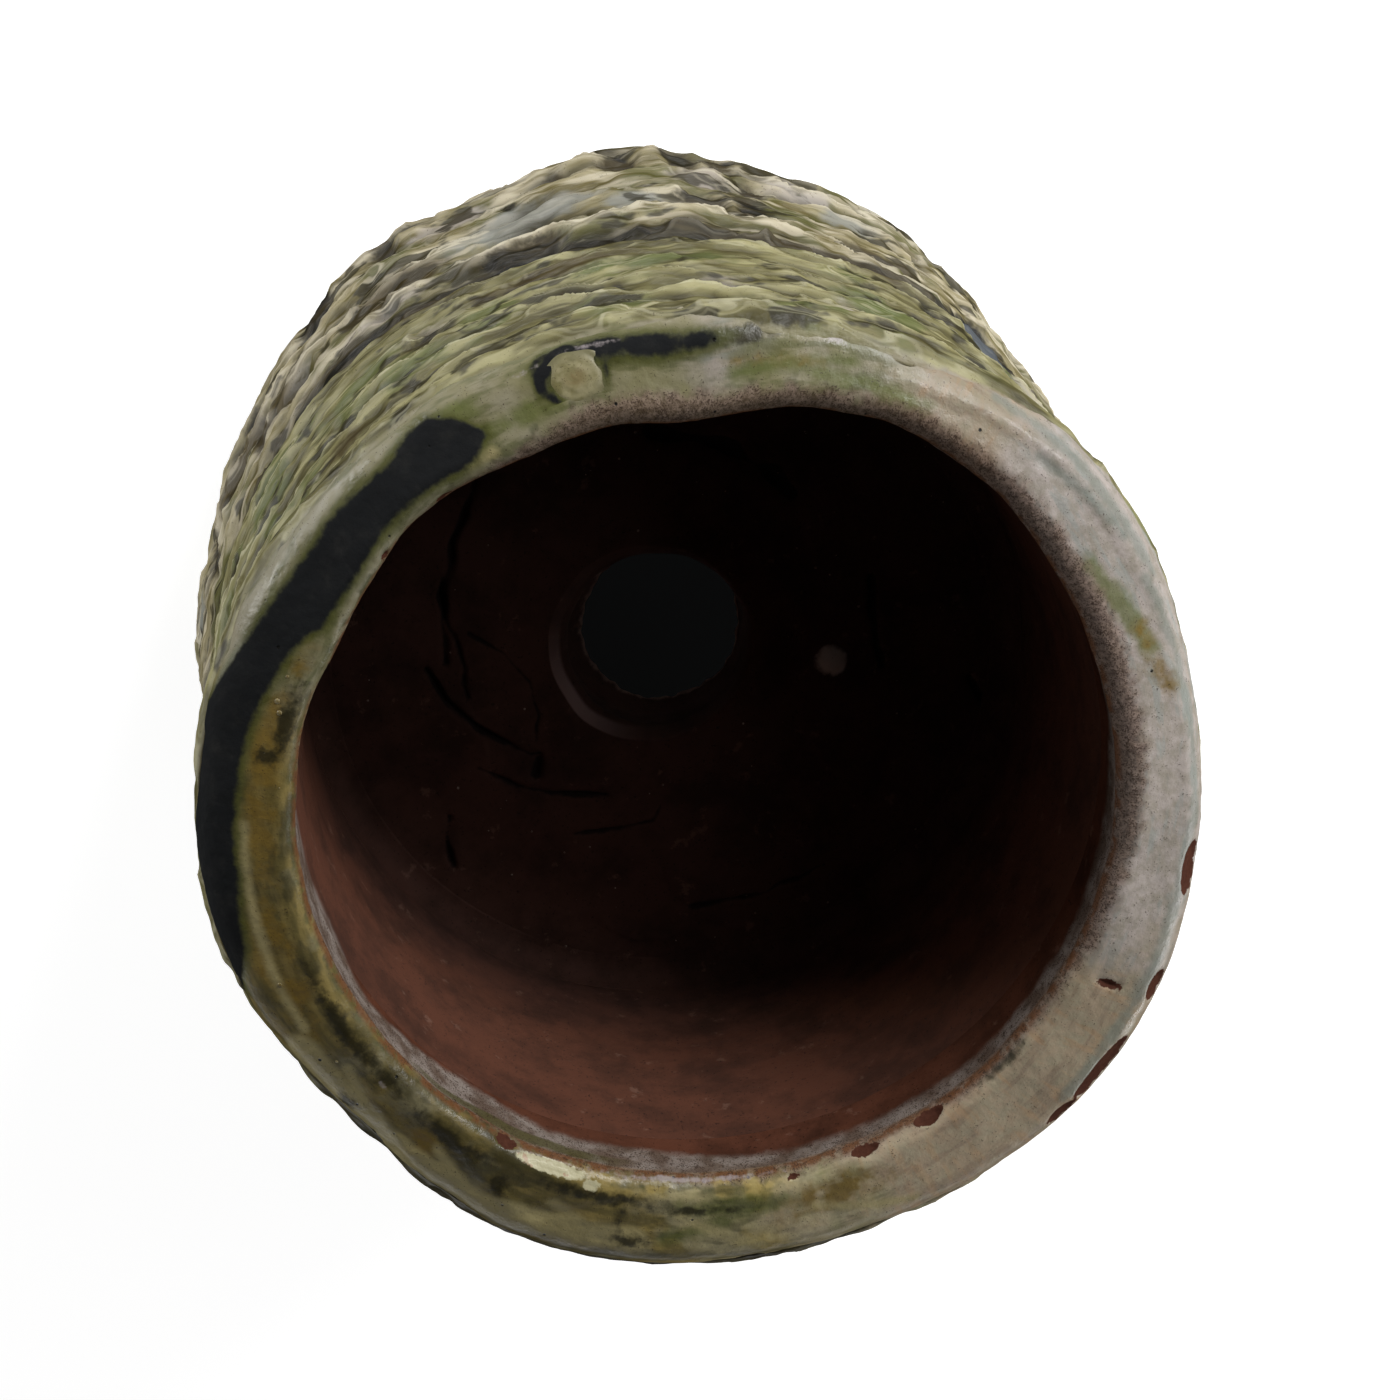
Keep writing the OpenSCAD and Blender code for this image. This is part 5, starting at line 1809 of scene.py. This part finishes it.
def studio_floor():
    material, bench, shader = new_material("studio_floor")
    place = object_mm(bench)
    parts = bench.parts(place)
    reach = bench.vector("LENGTH", bench.join(parts[0], parts[1], 0.0))
    outside_painted_shade = bench.ramp(reach, *PAINTED_SHADE_UNDER_POT_MM)
    # Painted shade: the floor is coloured nearly black right under the pot
    tone = bench.blend(outside_painted_shade, paint(24, 27, 28), paint(190, 190, 190))
    bench.feed(shader.inputs["Base Color"], tone)
    shader.inputs["Roughness"].default_value = 0.9
    shader.inputs["Specular IOR Level"].default_value = 0.0
    path = bench.add("ShaderNodeLightPath").outputs
    seen = bench.most(path["Is Camera Ray"], path["Is Glossy Ray"])
    seen = bench.most(seen, path["Is Transmission Ray"])
    glow = bench.times(seen, bench.ramp(outside_painted_shade, 0.0, 1.0, UNDER_POT_PAINTED_GLOW, FLOOR_GLOW))
    shader.inputs["Emission Color"].default_value = (1, 1, 1, 1)
    bench.feed(shader.inputs["Emission Strength"], glow)
    bpy.ops.mesh.primitive_plane_add(size=FLOOR_SIDE, location=(0, 0, 0))
    plane = bpy.context.object
    plane.name = "studio_floor"
    plane.data.materials.append(material)


studio_floor()

# %% [markdown]
# ## Light
# The main lamp is a soft panel beyond the top right of the picture, low enough that it shines over the
# lip only onto the far side of the inner wall and leaves the floor of the pot dark. Weaker panels
# near the ground fill the other sides, and a small faint one looks into the well. The sky is bright
# round the horizon and nearly black overhead, again so that the inside stays dark.

# %% Light
LAMP_TARGET = Vector((0, 0, 0.15))
# Name, direction from the pot, distance, width, height, brightness on a surface that faces it
LAMPS = [("key_panel", (-0.72, -0.50, 0.47), 1.5, 1.10, 0.42, 1.20),
         ("front_left_panel", (0.72, -0.69, 0.04), 1.6, 0.90, 0.30, 0.60),
         ("back_right_panel", (-0.62, 0.80, 0.04), 1.8, 0.90, 0.30, 0.30),
         ("back_left_panel", (0.60, 0.80, 0.04), 1.8, 0.90, 0.30, 0.05),
         ("well_panel", (-0.65, -0.14, 0.74), 1.5, 0.50, 0.50, 0.08)]


def hang_lamp(name, direction, distance, width, height, brightness):
    light = bpy.data.lights.new(name, "AREA")
    light.shape = "RECTANGLE"
    light.size, light.size_y = width, height
    light.energy = brightness * math.pi ** 2 * distance ** 2
    lamp = add_object(name, light)
    towards = Vector(direction).normalized()
    lamp.location = LAMP_TARGET + towards * distance
    lamp.rotation_euler = towards.to_track_quat("Z", "Y").to_euler()
    print("%s %.1f W" % (name, light.energy))


for lamp in LAMPS:
    hang_lamp(*lamp)

# %% Sky
SKY_LOW, SKY_HIGH = 0.30, 0.015
SKY_RISE = (0.42, 0.80)

world = bpy.data.worlds.new("studio")
bpy.context.scene.world = world
world.use_nodes = True
sky = Bench(world.node_tree)
background = world.node_tree.nodes["Background"]
up = sky.parts(sky.add("ShaderNodeTexCoord").outputs["Generated"])[2]
level = sky.ramp(up, SKY_RISE[0], SKY_RISE[1], SKY_LOW, SKY_HIGH)
seen_by_camera = sky.add("ShaderNodeLightPath").outputs["Is Camera Ray"]
sky.feed(background.inputs["Strength"], sky.most(level, seen_by_camera))
background.inputs["Color"].default_value = (1, 1, 1, 1)
bpy.context.scene.view_settings.view_transform = "Standard"
